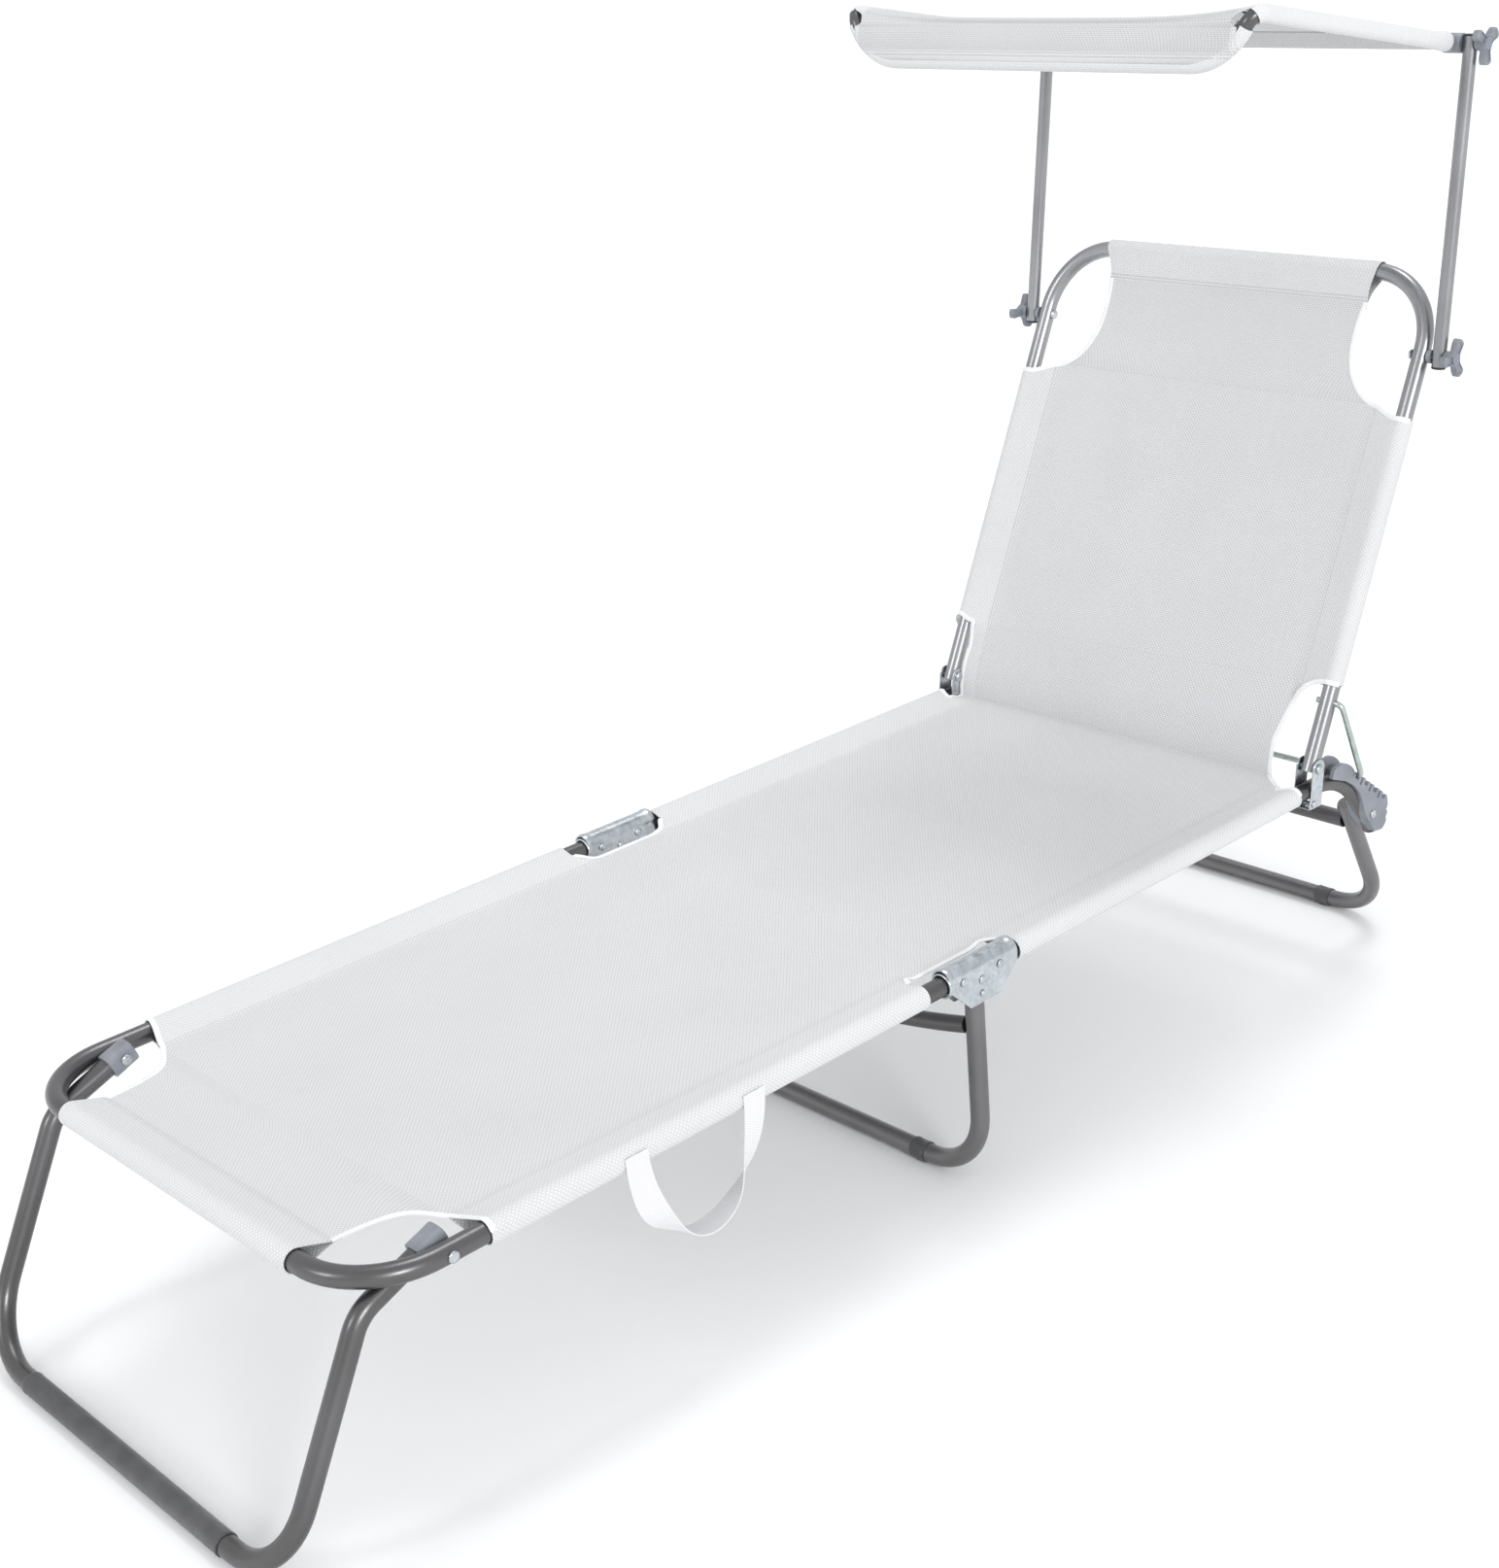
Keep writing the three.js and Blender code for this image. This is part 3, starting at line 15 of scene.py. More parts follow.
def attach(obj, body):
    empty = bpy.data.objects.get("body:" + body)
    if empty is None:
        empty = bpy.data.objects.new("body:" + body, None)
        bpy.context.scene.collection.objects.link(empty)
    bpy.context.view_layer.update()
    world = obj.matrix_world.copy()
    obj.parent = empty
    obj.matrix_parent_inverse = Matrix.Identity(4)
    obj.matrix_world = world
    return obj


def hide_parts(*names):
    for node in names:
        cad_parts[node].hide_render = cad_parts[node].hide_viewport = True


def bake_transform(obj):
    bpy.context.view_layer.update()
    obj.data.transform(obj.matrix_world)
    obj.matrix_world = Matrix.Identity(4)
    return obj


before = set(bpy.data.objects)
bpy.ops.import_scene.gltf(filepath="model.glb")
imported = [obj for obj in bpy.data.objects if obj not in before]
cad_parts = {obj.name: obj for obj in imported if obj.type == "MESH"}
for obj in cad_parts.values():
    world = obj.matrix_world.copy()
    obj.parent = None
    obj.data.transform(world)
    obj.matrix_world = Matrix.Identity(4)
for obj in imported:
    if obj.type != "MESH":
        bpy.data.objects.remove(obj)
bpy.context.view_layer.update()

MM = 0.001
ORIGIN_Y = 750.1245
HANDS = (("left", -1), ("right", 1))
X_AXIS = np.array([1.0, 0, 0])

TUBE, ARM, WIRE = 10.0, 8.0, 3.5
RAIL_X = 280.0
DECK = 250.0
ON_DECK = np.array([0, 0, DECK])
FLOOR_BAR = 12.0
LEG_CORNER = 72.0
FOOT_LENGTH = 735.0
FOOT_PIVOT = np.array([0, 88, DECK])
FOOT_LEG_X, FOOT_LEG_REACH, FOOT_LEG_SLOPE = 257.0, 183.4, math.atan2(30, 76)
MID_BRACE_HALF, MID_BRACE_DROP, MID_BRACE_BOW = 269.7, 65, 35
REAR_LEG_X, REAR_LEG_REACH = 258.5, 82.7
HINGE = np.array([1321.0, 276.6])
BACK_ANGLE = math.radians(63.73)
BACK_LENGTH = 583.0
ARM_X, ARM_LENGTH, ARM_TAIL, ARM_AXIS = 304.3, 345.5, 11.0, 490.0
ARM_ENDS = (-ARM_TAIL, ARM_LENGTH + 7)
ARM_LEAN = math.radians(8.15)
BAIL_PIVOT, BAIL_X = 78.0, 298.6
TAIL_START, TAIL_RADIUS, TAIL_ANGLE, TAIL_RUN = 1328.0, 108.0, math.radians(55), 53.0
TAIL_LENGTH = TAIL_RADIUS * TAIL_ANGLE + TAIL_RUN
CANOPY_X, VISOR_X, CANOPY_LIFT = 282.0, 250.0, 9.0

# Cloth: its thickness, a sleeve's radius, the seams' distances from the middle and from a cross
# tube, the slot at the middle brackets, the line between the seat's sheets, and their end
CLOTH, SLEEVE = 1.0, 11.6
SEAM_X, CROSS_SEAM = 236.0, 38.0
SLOT_START, SLOT_END, SLOT_X = 660.0, 794.0, 249.0
SEAT_SPLIT, SEAT_LAST = 1000.0, 1322.0

# Lines and frames


def coords(*parts):
    """Rows of coordinates from their columns, each an array or one number for all."""
    return np.stack(np.broadcast_arrays(*parts), -1)


def unit(vectors):
    """Vectors divided by their lengths."""
    vectors = np.asarray(vectors, float)
    return vectors / np.linalg.norm(vectors, axis=-1, keepdims=True)


def placed(points):
    """Layout millimetres as metres in the part's frame."""
    return (np.asarray(points, float) - (0, ORIGIN_Y, 0)) * MM


def about_x(points, angle, y=0.0, z=0.0):
    """Points turned about the X axis by an angle, then moved by y and z."""
    points = np.asarray(points, float)
    c, s = math.cos(angle), math.sin(angle)
    turned_y = c * points[..., 1] - s * points[..., 2] + y
    turned_z = s * points[..., 1] + c * points[..., 2] + z
    return coords(points[..., 0], turned_y, turned_z)


def on_back(points):
    """Points given as X, distance up the backrest from its hinge, and height over its plane."""
    return about_x(points, BACK_ANGLE, *HINGE)


ARM_FOOT = on_back([0, ARM_AXIS, 0])
ARM_TOP = ARM_FOOT + about_x([0, 0, ARM_LENGTH], -ARM_LEAN)


def on_arm(points):
    """Points given in the frame of the canopy arms, with Z along them from the lower joint."""
    return about_x(points, -ARM_LEAN, ARM_FOOT[1], ARM_FOOT[2])


def on_tail(along, height):
    """Y and Z at a distance along a seat rail's bent tail and a height over its centre line:
    an arc of radius TAIL_RADIUS turning down, then a straight run."""
    along, height = np.broadcast_arrays(np.asarray(along, float), np.asarray(height, float))
    arc = TAIL_RADIUS * TAIL_ANGLE
    angle = np.minimum(along, arc) / TAIL_RADIUS
    beyond = np.maximum(0, along - arc)
    radius = TAIL_RADIUS + height
    y = TAIL_START + radius * np.sin(angle) + beyond * math.cos(TAIL_ANGLE)
    z = DECK - TAIL_RADIUS + radius * np.cos(angle) - beyond * math.sin(TAIL_ANGLE)
    return coords(y, z)


REAR_PIVOT = on_tail(TAIL_RADIUS * TAIL_ANGLE + 25, 0)
REAR_FLOOR_Y = REAR_PIVOT[0] + REAR_LEG_REACH
TAIL_END = on_tail(TAIL_LENGTH, 0)
BAIL_PIN = on_back([0, BAIL_PIVOT, 0])[1:]
FIRST_NOTCH = on_tail(66.3, 16)
BAIL_LENGTH = float(np.linalg.norm(FIRST_NOTCH - BAIL_PIN))
BAIL_ANGLE = math.atan2(*(FIRST_NOTCH - BAIL_PIN)[::-1])

# The last notch, a bail's length from its pin when the backrest is reclined
RECLINED = math.radians(14.1)
LAST_NOTCH_OUT = 58.4
LAST_PIN = HINGE + BAIL_PIVOT * np.array([math.cos(RECLINED), math.sin(RECLINED)])
LAST_NOTCH = LAST_PIN + (LAST_NOTCH_OUT, -math.sqrt(BAIL_LENGTH**2 - LAST_NOTCH_OUT**2))


def run(start, end, step):
    """Points from start up to but not including end, at about equal steps."""
    count = max(1, math.ceil(np.linalg.norm(end - start) / step))
    return start + (end - start) * (np.arange(count) / count)[:, None]


def bent_line(corners, radii, turn_step=5.0, run_step=60.0):
    """Straight runs between corners, joined by arcs tangent to both runs: each arc's points are
    its start plus radius times (sin a along the run, 1 - cos a inwards)."""
    corners = np.asarray(corners, float)
    parts = []
    before = corners[0]
    for a, b, c, radius in zip(corners, corners[1:], corners[2:], radii):
        come, go = unit(b - a), unit(c - b)
        turn = math.acos(float(np.clip(come @ go, -1, 1)))
        start = b - come * radius * math.tan(turn / 2)
        inward = unit(go - come * (come @ go))
        angles = np.linspace(0, turn, max(4, round(math.degrees(turn) / turn_step) + 1))[:, None]
        arc = start + radius * (come * np.sin(angles) + inward * (1 - np.cos(angles)))
        parts += [run(before, start, run_step), arc[:-1]]
        before = arc[-1]
    return np.concatenate([*parts, run(before, corners[-1], run_step), corners[-1:]])


def mirrored(right):
    """Corners of the right half followed by their mirror images in reverse."""
    right = np.asarray(right, float)
    return np.concatenate([right, (right * (-1, 1, 1))[::-1]])


def cross_line(half, y, z):
    """A straight line along X, half as long on each side of the middle."""
    return np.array([(x, y, z) for x in (-half, 0, half)])


def tangents_of(line):
    """Directions along a line: at each point the mean of the steps before and after it."""
    steps = unit(np.diff(line, axis=0))
    return unit(np.concatenate([steps[:1], steps[:-1] + steps[1:], steps[-1:]]))


def beside(way):
    """A unit vector square to a way: its cross product with Z, or with X where it runs on Z."""
    return unit(np.cross(way, (0, 0, 1) if abs(way[2]) < 0.9 else (1, 0, 0)))


def turns(count):
    """Angles in equal steps that make a full turn."""
    return np.arange(count) * 2 * math.pi / count


def round_points(angles, radius=1.0):
    """A circle's points at some angles: radius times (cos a, sin a)."""
    return radius * coords(np.cos(angles), np.sin(angles))


def squared(values, power):
    """Values from -1 to 1 raised to a power under their own sign: it squares a circle off."""
    return np.sign(values) * np.abs(values) ** power


def sweep(line, section):
    """A section's points set across a line at each of its points, on two normals carried along
    it with the least turning."""
    tangents = tangents_of(line)
    normals = [beside(tangents[0])]
    for tangent in tangents[1:]:
        normals.append(unit(normals[-1] - tangent * (normals[-1] @ tangent)))
    across = np.array(normals)
    up = np.cross(tangents, across)
    return line[:, None] + across[:, None] * section[:, :1] + up[:, None] * section[:, 1:]


# Meshes


class Shape:
    """Surfaces on grids, gathered into one mesh."""

    def __init__(self):
        """An empty shape: no points, faces or texture coordinates."""
        self.spots, self.faces, self.maps = [], [], []
        self.count = 0

    def grid(self, points, wrap=False, caps=False, uv=None):
        """Adds a surface whose rows and columns are the grid's; wrap joins the last column to
        the first, caps closes the first and the last row."""
        points = np.asarray(points, float)
        rows, columns = points.shape[:2]
        index = np.arange(rows * columns).reshape(rows, columns) + self.count
        if uv is None:
            uv = grid_lengths(points, wrap)
        if wrap:
            index = np.concatenate([index, index[:, :1]], 1)
        for table, gathered in ((index, self.faces), (np.asarray(uv, float), self.maps)):
            corners = [table[:-1, :-1], table[:-1, 1:], table[1:, 1:], table[1:, :-1]]
            stacked = np.stack(corners, 2)
            gathered.extend(stacked.reshape(-1, *stacked.shape[2:]).tolist())
        if caps:
            for row, ring in ((0, index[0, :-1][::-1]), (-1, index[-1, :-1])):
                self.faces.append(ring.tolist())
                middle = points[row].mean(0)
                flat = (points[row] - middle)[:: -1 if row == 0 else 1]
                self.maps.append((flat[:, 1:] * MM).tolist())
        self.spots.append(points.reshape(-1, 3))
        self.count += rows * columns
        return self


def grid_lengths(points, wrap):
    """Texture coordinates in metres: the mean length round the rows, and along the columns."""
    ring = np.concatenate([points, points[:, :1]], 1) if wrap else points
    round_steps = np.linalg.norm(np.diff(ring, axis=1), axis=2).mean(0)
    along_steps = np.linalg.norm(np.diff(points, axis=0), axis=2).mean(1)
    u = np.concatenate([[0], np.cumsum(round_steps)])
    v = np.concatenate([[0], np.cumsum(along_steps)])
    return np.stack(np.meshgrid(u, v), -1) * MM


WELD = 2e-6
WALL_CREASE, BEVEL_CREASE = math.radians(55), math.radians(35)


def make(
    name, shape, finish, body=None, node=None, bend=None, wall=0.0, bevel=0.0, sharp=40, merge=True
):
    """Makes an object of a shape in a finish, in place of a node of the frame: it rides on a
    body, or, given a bend, keeps its place baked into its mesh; it may be given a wall or
    rounded edges."""
    mesh = bpy.data.meshes.new(name)
    mesh.from_pydata(placed(np.concatenate(shape.spots)).tolist(), [], shape.faces)
    layer = mesh.uv_layers.new(name="UVMap")
    layer.data.foreach_set("uv", np.concatenate([np.ravel(face) for face in shape.maps]))
    work = bmesh.new()
    work.from_mesh(mesh)
    if merge:
        bmesh.ops.remove_doubles(work, verts=work.verts, dist=WELD)
    bmesh.ops.recalc_face_normals(work, faces=work.faces)
    work.to_mesh(mesh)
    work.free()
    mesh.polygons.foreach_set("use_smooth", np.ones(len(mesh.polygons), bool))
    mesh.set_sharp_from_angle(angle=math.radians(sharp))
    material, slot = finish
    mesh.materials.append(material)
    piece = bpy.data.objects.new(name, mesh)
    bpy.context.scene.collection.objects.link(piece)
    if wall:
        solidify = piece.modifiers.new("Wall", "SOLIDIFY")
        solidify.thickness = wall * MM
        solidify.offset = 0
        evaluated = piece.evaluated_get(bpy.context.evaluated_depsgraph_get())
        flat = bpy.data.meshes.new_from_object(evaluated)
        piece.modifiers.clear()
        piece.data = flat
        flat.set_sharp_from_angle(angle=WALL_CREASE)
    if bevel:
        rounded = piece.modifiers.new("Rounded", "BEVEL")
        rounded.width = bevel * MM
        rounded.segments = 3
        rounded.limit_method = "ANGLE"
        rounded.angle_limit = BEVEL_CREASE
        rounded.harden_normals = True
    if body:
        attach(piece, body)
    if bend:
        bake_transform(piece)
    if node:
        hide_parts(node)
    return piece


def solid(*grids):
    """A shape of closed pieces: each grid's rows are rings, and its first and last are capped."""
    shape = Shape()
    for points in grids:
        shape.grid(points, wrap=True, caps=True)
    return shape


def add_tube(name, line, finish, body, node, radius=TUBE, sides=32):
    """Makes a round tube along a line, in place of a node."""
    make(name, solid(sweep(line, round_points(turns(sides), radius))), finish, body, node)


def turned(profile, centre, axis=X_AXIS, sides=40):
    """A turned piece: the profile's (place, radius) pairs carried round an axis from a centre."""
    profile = np.asarray(profile, float)
    axis = unit(axis)
    side = beside(axis)
    angles = turns(sides)[:, None]
    ring = side * np.cos(angles) + np.cross(axis, side) * np.sin(angles)
    return np.asarray(centre, float) + profile[:, None, :1] * axis + profile[:, None, 1:] * ring


def dome(radius, height, start, way):
    """(place, radius) pairs of a domed head that rises by height from a place."""
    angles = np.linspace(0, math.pi / 2, 6)
    places = start + way * height * np.sin(angles)
    return coords(places, np.maximum(radius * np.cos(angles), 0.02))


def plate(outline, x_from, x_to):
    """A plate between two X places with an outline of (Y, Z) points."""
    return np.array([np.insert(np.asarray(outline, float), 0, x, axis=1) for x in (x_from, x_to)])


# Finishes


def maths(operation, step=1):
    """A Socket's method: a Math node on it and the other values, in reverse at step -1."""
    return lambda self, *others: self.finish.node(
        "ShaderNodeMath", {"operation": operation}, dict(enumerate((self, *others)[::step]))
    )


class Socket:
    """A shader value that takes part in Python arithmetic: each operator adds its Math node."""

    def __init__(self, finish, output):
        """The finish that the value belongs to, and the node's output that gives it."""
        self.finish, self.output = finish, output

    __add__, __mul__ = maths("ADD"), maths("MULTIPLY")
    __sub__, __rsub__ = maths("SUBTRACT"), maths("SUBTRACT", -1)
    sine, absolute = maths("SINE"), maths("ABSOLUTE")
    above, largest = maths("GREATER_THAN"), maths("MAXIMUM")


class Finish:
    """A material that is built node by node."""

    def __init__(self, name):
        """A new material, its node tree and its shader."""
        self.material = bpy.data.materials.new(name)
        self.material.use_nodes = True
        self.tree = self.material.node_tree
        self.shader = next(n for n in self.tree.nodes if n.type == "BSDF_PRINCIPLED")

    def node(self, kind, settings=None, inputs=None, output=0):
        """Adds a node with settings and inputs, and gives one of its outputs."""
        made = self.tree.nodes.new(kind)
        for key, value in (settings or {}).items():
            setattr(made, key, value)
        for key, value in (inputs or {}).items():
            self.feed(made.inputs[key], value)
        return Socket(self, made.outputs[output])

    def feed(self, socket, value):
        """Links a shader value to an input, or sets a plain one there."""
        if isinstance(value, Socket):
            self.tree.links.new(value.output, socket)
        else:
            socket.default_value = (*value, 1) if socket.type == "RGBA" else value

    def set(self, **inputs):
        """Feeds inputs of the shader, named with underscores for spaces."""
        for key, value in inputs.items():
            self.feed(self.shader.inputs[key.replace("_", " ")], value)

    def places(self):
        """Places in the piece's own frame, in metres."""
        return self.node("ShaderNodeTexCoord", output="Object")

    def along_cloth(self):
        """The two texture coordinates, lengths in metres across the piece and along it."""
        values = {0: self.node("ShaderNodeTexCoord", output="UV")}
        return [self.node("ShaderNodeSeparateXYZ", inputs=values, output=k) for k in (0, 1)]

    def noise(self, scale, detail=3, roughness=0.5):
        """Noise over the piece's places."""
        values = {"Vector": self.places(), "Scale": scale, "Detail": detail, "Roughness": roughness}
        return self.node("ShaderNodeTexNoise", inputs=values)

    def blend(self, share, low, high):
        """A colour that goes from low to high as the share goes from 0 to 1."""
        values = {0: share, 6: low, 7: high}
        return self.node("ShaderNodeMix", {"data_type": "RGBA"}, values, output=2)

    def spread(self, *values):
        """A value mapped from its low and high to 0 and 1, or to two more values given."""
        return self.node("ShaderNodeMapRange", inputs=dict(enumerate(values)))

    def bump(self, height, distance, strength):
        """A normal tilted by the slope of a height."""
        values = {"Height": height, "Distance": distance, "Strength": strength}
        return self.node("ShaderNodeBump", inputs=values)


def painted_tube(name, low, high, rough):
    """Grey metallic powder coat: a fine speckle, slow tone changes, scuffs and orange peel."""
    f = Finish(name)
    speckle = f.spread(f.noise(5200, 2), 0.45, 0.7)
    slow = f.spread(f.noise(9, 3), 0.35, 0.65)
    scuff = f.spread(f.noise(60, 6, 0.7), 0.62, 0.75)
    tone = f.blend(slow, low, high)
    tone = f.blend(speckle * 0.1, tone, (0.30, 0.30, 0.31))
    tone = f.blend(scuff * 0.15, tone, (0.11, 0.11, 0.11))
    roughness = f.spread(f.noise(320, 3), 0.3, 0.7, rough, rough + 0.07)
    f.set(Base_Color=tone, Metallic=0.92, Roughness=roughness)
    f.set(Normal=f.bump(f.noise(900, 3), 0.00002, 0.12), Coat_Weight=0.1, Coat_Roughness=0.15)
    return f.material


def zinc_plate(name, low, high, rough):
    """Zinc plated steel: soft crystals, clouds of light and dark, and greener patches."""
    f = Finish(name)
    values = {"Vector": f.places(), "Scale": 260.0}
    crystals = f.node("ShaderNodeTexVoronoi", inputs=values, output="Color")
    grain = f.node("ShaderNodeSeparateColor", inputs={0: crystals})
    cloud = f.spread(f.noise(70, 4, 0.6), 0.3, 0.7)
    tone = f.blend(cloud * 0.7 + grain * 0.3, low, high)
    tone = f.blend(f.spread(f.noise(25, 5), 0.6, 0.8) * 0.35, tone, (0.30, 0.33, 0.31))
    roughness = f.spread(cloud + grain * 0.2, 0.0, 1.2, rough, rough + 0.18)
    f.set(Base_Color=tone, Metallic=1.0, Roughness=roughness)
    f.set(Normal=f.bump(f.noise(500, 3), 0.00006, 0.4))
    return f.material


def moulded(name, low, high, rough):
    """Moulded plastic: fine spark grain, slow tone changes and paler rubbed spots."""
    f = Finish(name)
    slow = f.spread(f.noise(40, 4), 0.3, 0.7)
    rubbed = f.spread(f.noise(160, 5, 0.7), 0.62, 0.78)
    pale = tuple(min(1.0, 1.6 * c + 0.02) for c in high)
    tone = f.blend(rubbed * 0.3, f.blend(slow, low, high), pale)
    f.set(Base_Color=tone, Roughness=f.spread(f.noise(90, 3), 0.3, 0.7, rough - 0.06, rough + 0.08))
    f.set(Normal=f.bump(f.noise(1400, 2), 0.00008, 0.5))
    return f.material


THREAD = 0.0023
STITCH_ROWS = (0.0016, 0.0052)
STITCHES = 1250.0


def mesh_cloth(name, way, seam, side_seam, shade=1.0, doubled_paleness_and_highlight=0.12):
    """Coated mesh cloth in plain weave: with a = sin(pi u / thread) and b = sin(pi v / thread),
    a times b is high where a warp thread lies on top and low where a weft thread does, and the
    gaps lie where both are near zero. Beyond the side seams, and beyond the seam at a distance
    along the way, the cloth is double and its gaps are paler; two rows of stitches follow."""
    f = Finish(name)
    u, v = f.along_cloth()
    a, b = ((length * (math.pi / THREAD)).sine() for length in (u, v))
    over = f.spread(a * b, -0.7, 0.7)
    gap = 1 - f.spread(a.absolute().largest(b.absolute()), 0.1, 0.74)
    place = f.places()
    side = f.node("ShaderNodeSeparateXYZ", inputs={0: place}).absolute() - side_seam * MM
    values = {0: place, 1: way}
    along = f.node("ShaderNodeVectorMath", {"operation": "DOT_PRODUCT"}, values, output="Value")
    end = along - seam
    double = side.above(0.0).largest(end.above(0.0))
    dash = f.spread((u * STITCHES).sine().largest((v * STITCHES).sine()), 0.2, 0.6)
    rows = 0.0
    for edge in (side, end):
        for at in STITCH_ROWS:
            rows = (1 - f.spread((edge - at).absolute(), 0.0003, 0.0008)) + rows
    slow = f.spread(f.noise(7, 3), 0.35, 0.65)
    fibre = f.spread(f.noise(1200, 2), 0.3, 0.7)
    # shade scales the cloth's tones: painted shade, below 1 for the back and canopy copies of the
    # deck's cloth.
    pale, light = (
        tuple(shade * c for c in colour) for colour in ((0.70, 0.705, 0.712), (0.735, 0.74, 0.748))
    )
    tone = f.blend(slow, pale, light)
    tone = f.blend((1 - over) * 0.6, tone, (0.44, 0.445, 0.46))
    tone = f.blend(gap * (0.9 - double * 0.35), tone, (0.16, 0.165, 0.175))
    tone = f.blend(fibre * 0.10, tone, (0.93, 0.93, 0.92))
    # The double cloth is paler for real, and this blend makes it paler still as painted highlight
    # on the sleeves, most on the canopy.
    tone = f.blend(double * doubled_paleness_and_highlight, tone, (0.86, 0.86, 0.865))
    tone = f.blend(rows * dash * 0.5, tone, (0.42, 0.42, 0.43))
    f.set(Base_Color=tone, Roughness=f.spread(over, 0.0, 1.0, 0.78, 0.6))
    f.set(Normal=f.bump(over * 0.8 - gap * 0.6 - rows * 0.8, 0.0005, 0.9))
    f.set(Sheen_Weight=0.1, Sheen_Roughness=0.5)
    return f.material


def binding_tape():
    """Woven edge tape: ribs as the sine of v, and soiled patches."""
    f = Finish("binding_tape")
    _, v = f.along_cloth()
    ribs = f.spread((v * (math.pi / 0.0006)).sine(), -1.0, 1.0)
    soil = f.spread(f.noise(35, 5, 0.6), 0.45, 0.75)
    tone = f.blend(ribs * 0.45, (0.90, 0.90, 0.90), (0.66, 0.66, 0.67))
    tone = f.blend(soil * 0.35, tone, (0.60, 0.59, 0.56))
    f.set(Base_Color=tone, Roughness=f.spread(ribs, 0.0, 1.0, 0.72, 0.86))
    f.set(Normal=f.bump(ribs + f.noise(900, 2) * 0.6, 0.0002, 0.8), Sheen_Weight=0.2)
    return f.material


def webbing():
    """Flat webbing with slanted ribs: the sine of v and of a slower sine of u."""
    f = Finish("webbing")
    u, v = f.along_cloth()
    chevron = (v * 2600.0 + (u * 420.0).sine() * 2.2).sine()
    ribs = f.spread(chevron, -1.0, 1.0)
    tone = f.blend(ribs * 0.6, (0.80, 0.795, 0.81), (0.56, 0.555, 0.58))
    tone = f.blend(f.spread(f.noise(50, 4), 0.5, 0.8) * 0.25, tone, (0.72, 0.72, 0.70))
    f.set(Base_Color=tone, Roughness=f.spread(ribs, 0.0, 1.0, 0.6, 0.8))
    f.set(Normal=f.bump(ribs, 0.00025, 0.7), Sheen_Weight=0.2)
    return f.material


# One powder coat in three copies: the first as it is, and two paler copies with painted light, a
# little for the middle and rear legs and more for the back tube and canopy arms.
PAINT = (painted_tube("painted_tube", (0.118, 0.115, 0.116), (0.146, 0.144, 0.148), 0.30), "tube")
PAINT_WITH_SOME_PAINTED_LIGHT = (painted_tube("tube_coat_some_painted_light", (0.175, 0.170, 0.172), (0.215, 0.211, 0.215), 0.30), "tube")
PAINT_WITH_PAINTED_LIGHT = (painted_tube("tube_coat_painted_light", (0.30, 0.30, 0.31), (0.37, 0.37, 0.385), 0.29), "tube")
ZINC = (zinc_plate("zinc_plate", (0.40, 0.435, 0.46), (0.66, 0.695, 0.72), 0.2), "zinc")
WIRE_ZINC = (zinc_plate("zinc_wire", (0.36, 0.41, 0.39), (0.56, 0.62, 0.59), 0.22), "wire")
GREY = (moulded("grey_plastic", (0.185, 0.197, 0.225), (0.25, 0.265, 0.298), 0.42), "grey_plastic")
BLACK = (
    moulded("black_plastic", (0.012, 0.012, 0.014), (0.022, 0.022, 0.025), 0.5),
    "black_plastic",
)
FLOOR_PLASTIC = (
    moulded("floor_plastic", (0.060, 0.060, 0.062), (0.085, 0.085, 0.088), 0.36),
    "floor_plastic",
)
FOOT_SEAM = -float(placed((0, CROSS_SEAM, 0))[1])
BACK_SEAM_S = BACK_LENGTH - CROSS_SEAM
BACK_WAY = (0.0, math.cos(BACK_ANGLE), math.sin(BACK_ANGLE))
BACK_SEAM = float(placed(on_back((0, BACK_SEAM_S, 0))) @ BACK_WAY)
CANOPY_WAY, CANOPY_SEAM, CANOPY_SIDE_SEAM = (0.0, -0.13, -0.99), -1.134, 262.0
# The back and canopy cloths are the deck's cloth with painted shade, at 0.97 and 0.88 of its tones.
DECK_CLOTH = (mesh_cloth("deck_cloth", (0.0, -1.0, 0.0), FOOT_SEAM, SEAM_X), "mesh_cloth")
BACK_CLOTH_PAINTED_SHADE = (mesh_cloth("back_cloth_weave_painted_shade", BACK_WAY, BACK_SEAM, SEAM_X, 0.97), "mesh_cloth")
CANOPY_CLOTH_PAINTED_SHADE = (
    mesh_cloth("canopy_cloth_weave_painted_shade", CANOPY_WAY, CANOPY_SEAM, CANOPY_SIDE_SEAM, 0.88, 0.4),
    "mesh_cloth",
)
BINDING = (binding_tape(), "mesh_cloth")
WEBBING = (webbing(), "webbing")

# Camera: the view of the photograph, worked out from the rails, legs and crossbars

PHOTO_WIDTH, PHOTO_HEIGHT = 1543, 1614
FOCAL_PIXELS = 2413.23
CENTRE_X, CENTRE_Y = 856.0, 744.84
AZIMUTH, ELEVATION, ROLL = 46.51, 20.46, -4.05
EYE_X, EYE_Y, EYE_Z = 1.72203, -0.80299, 1.30757
SENSOR = 36


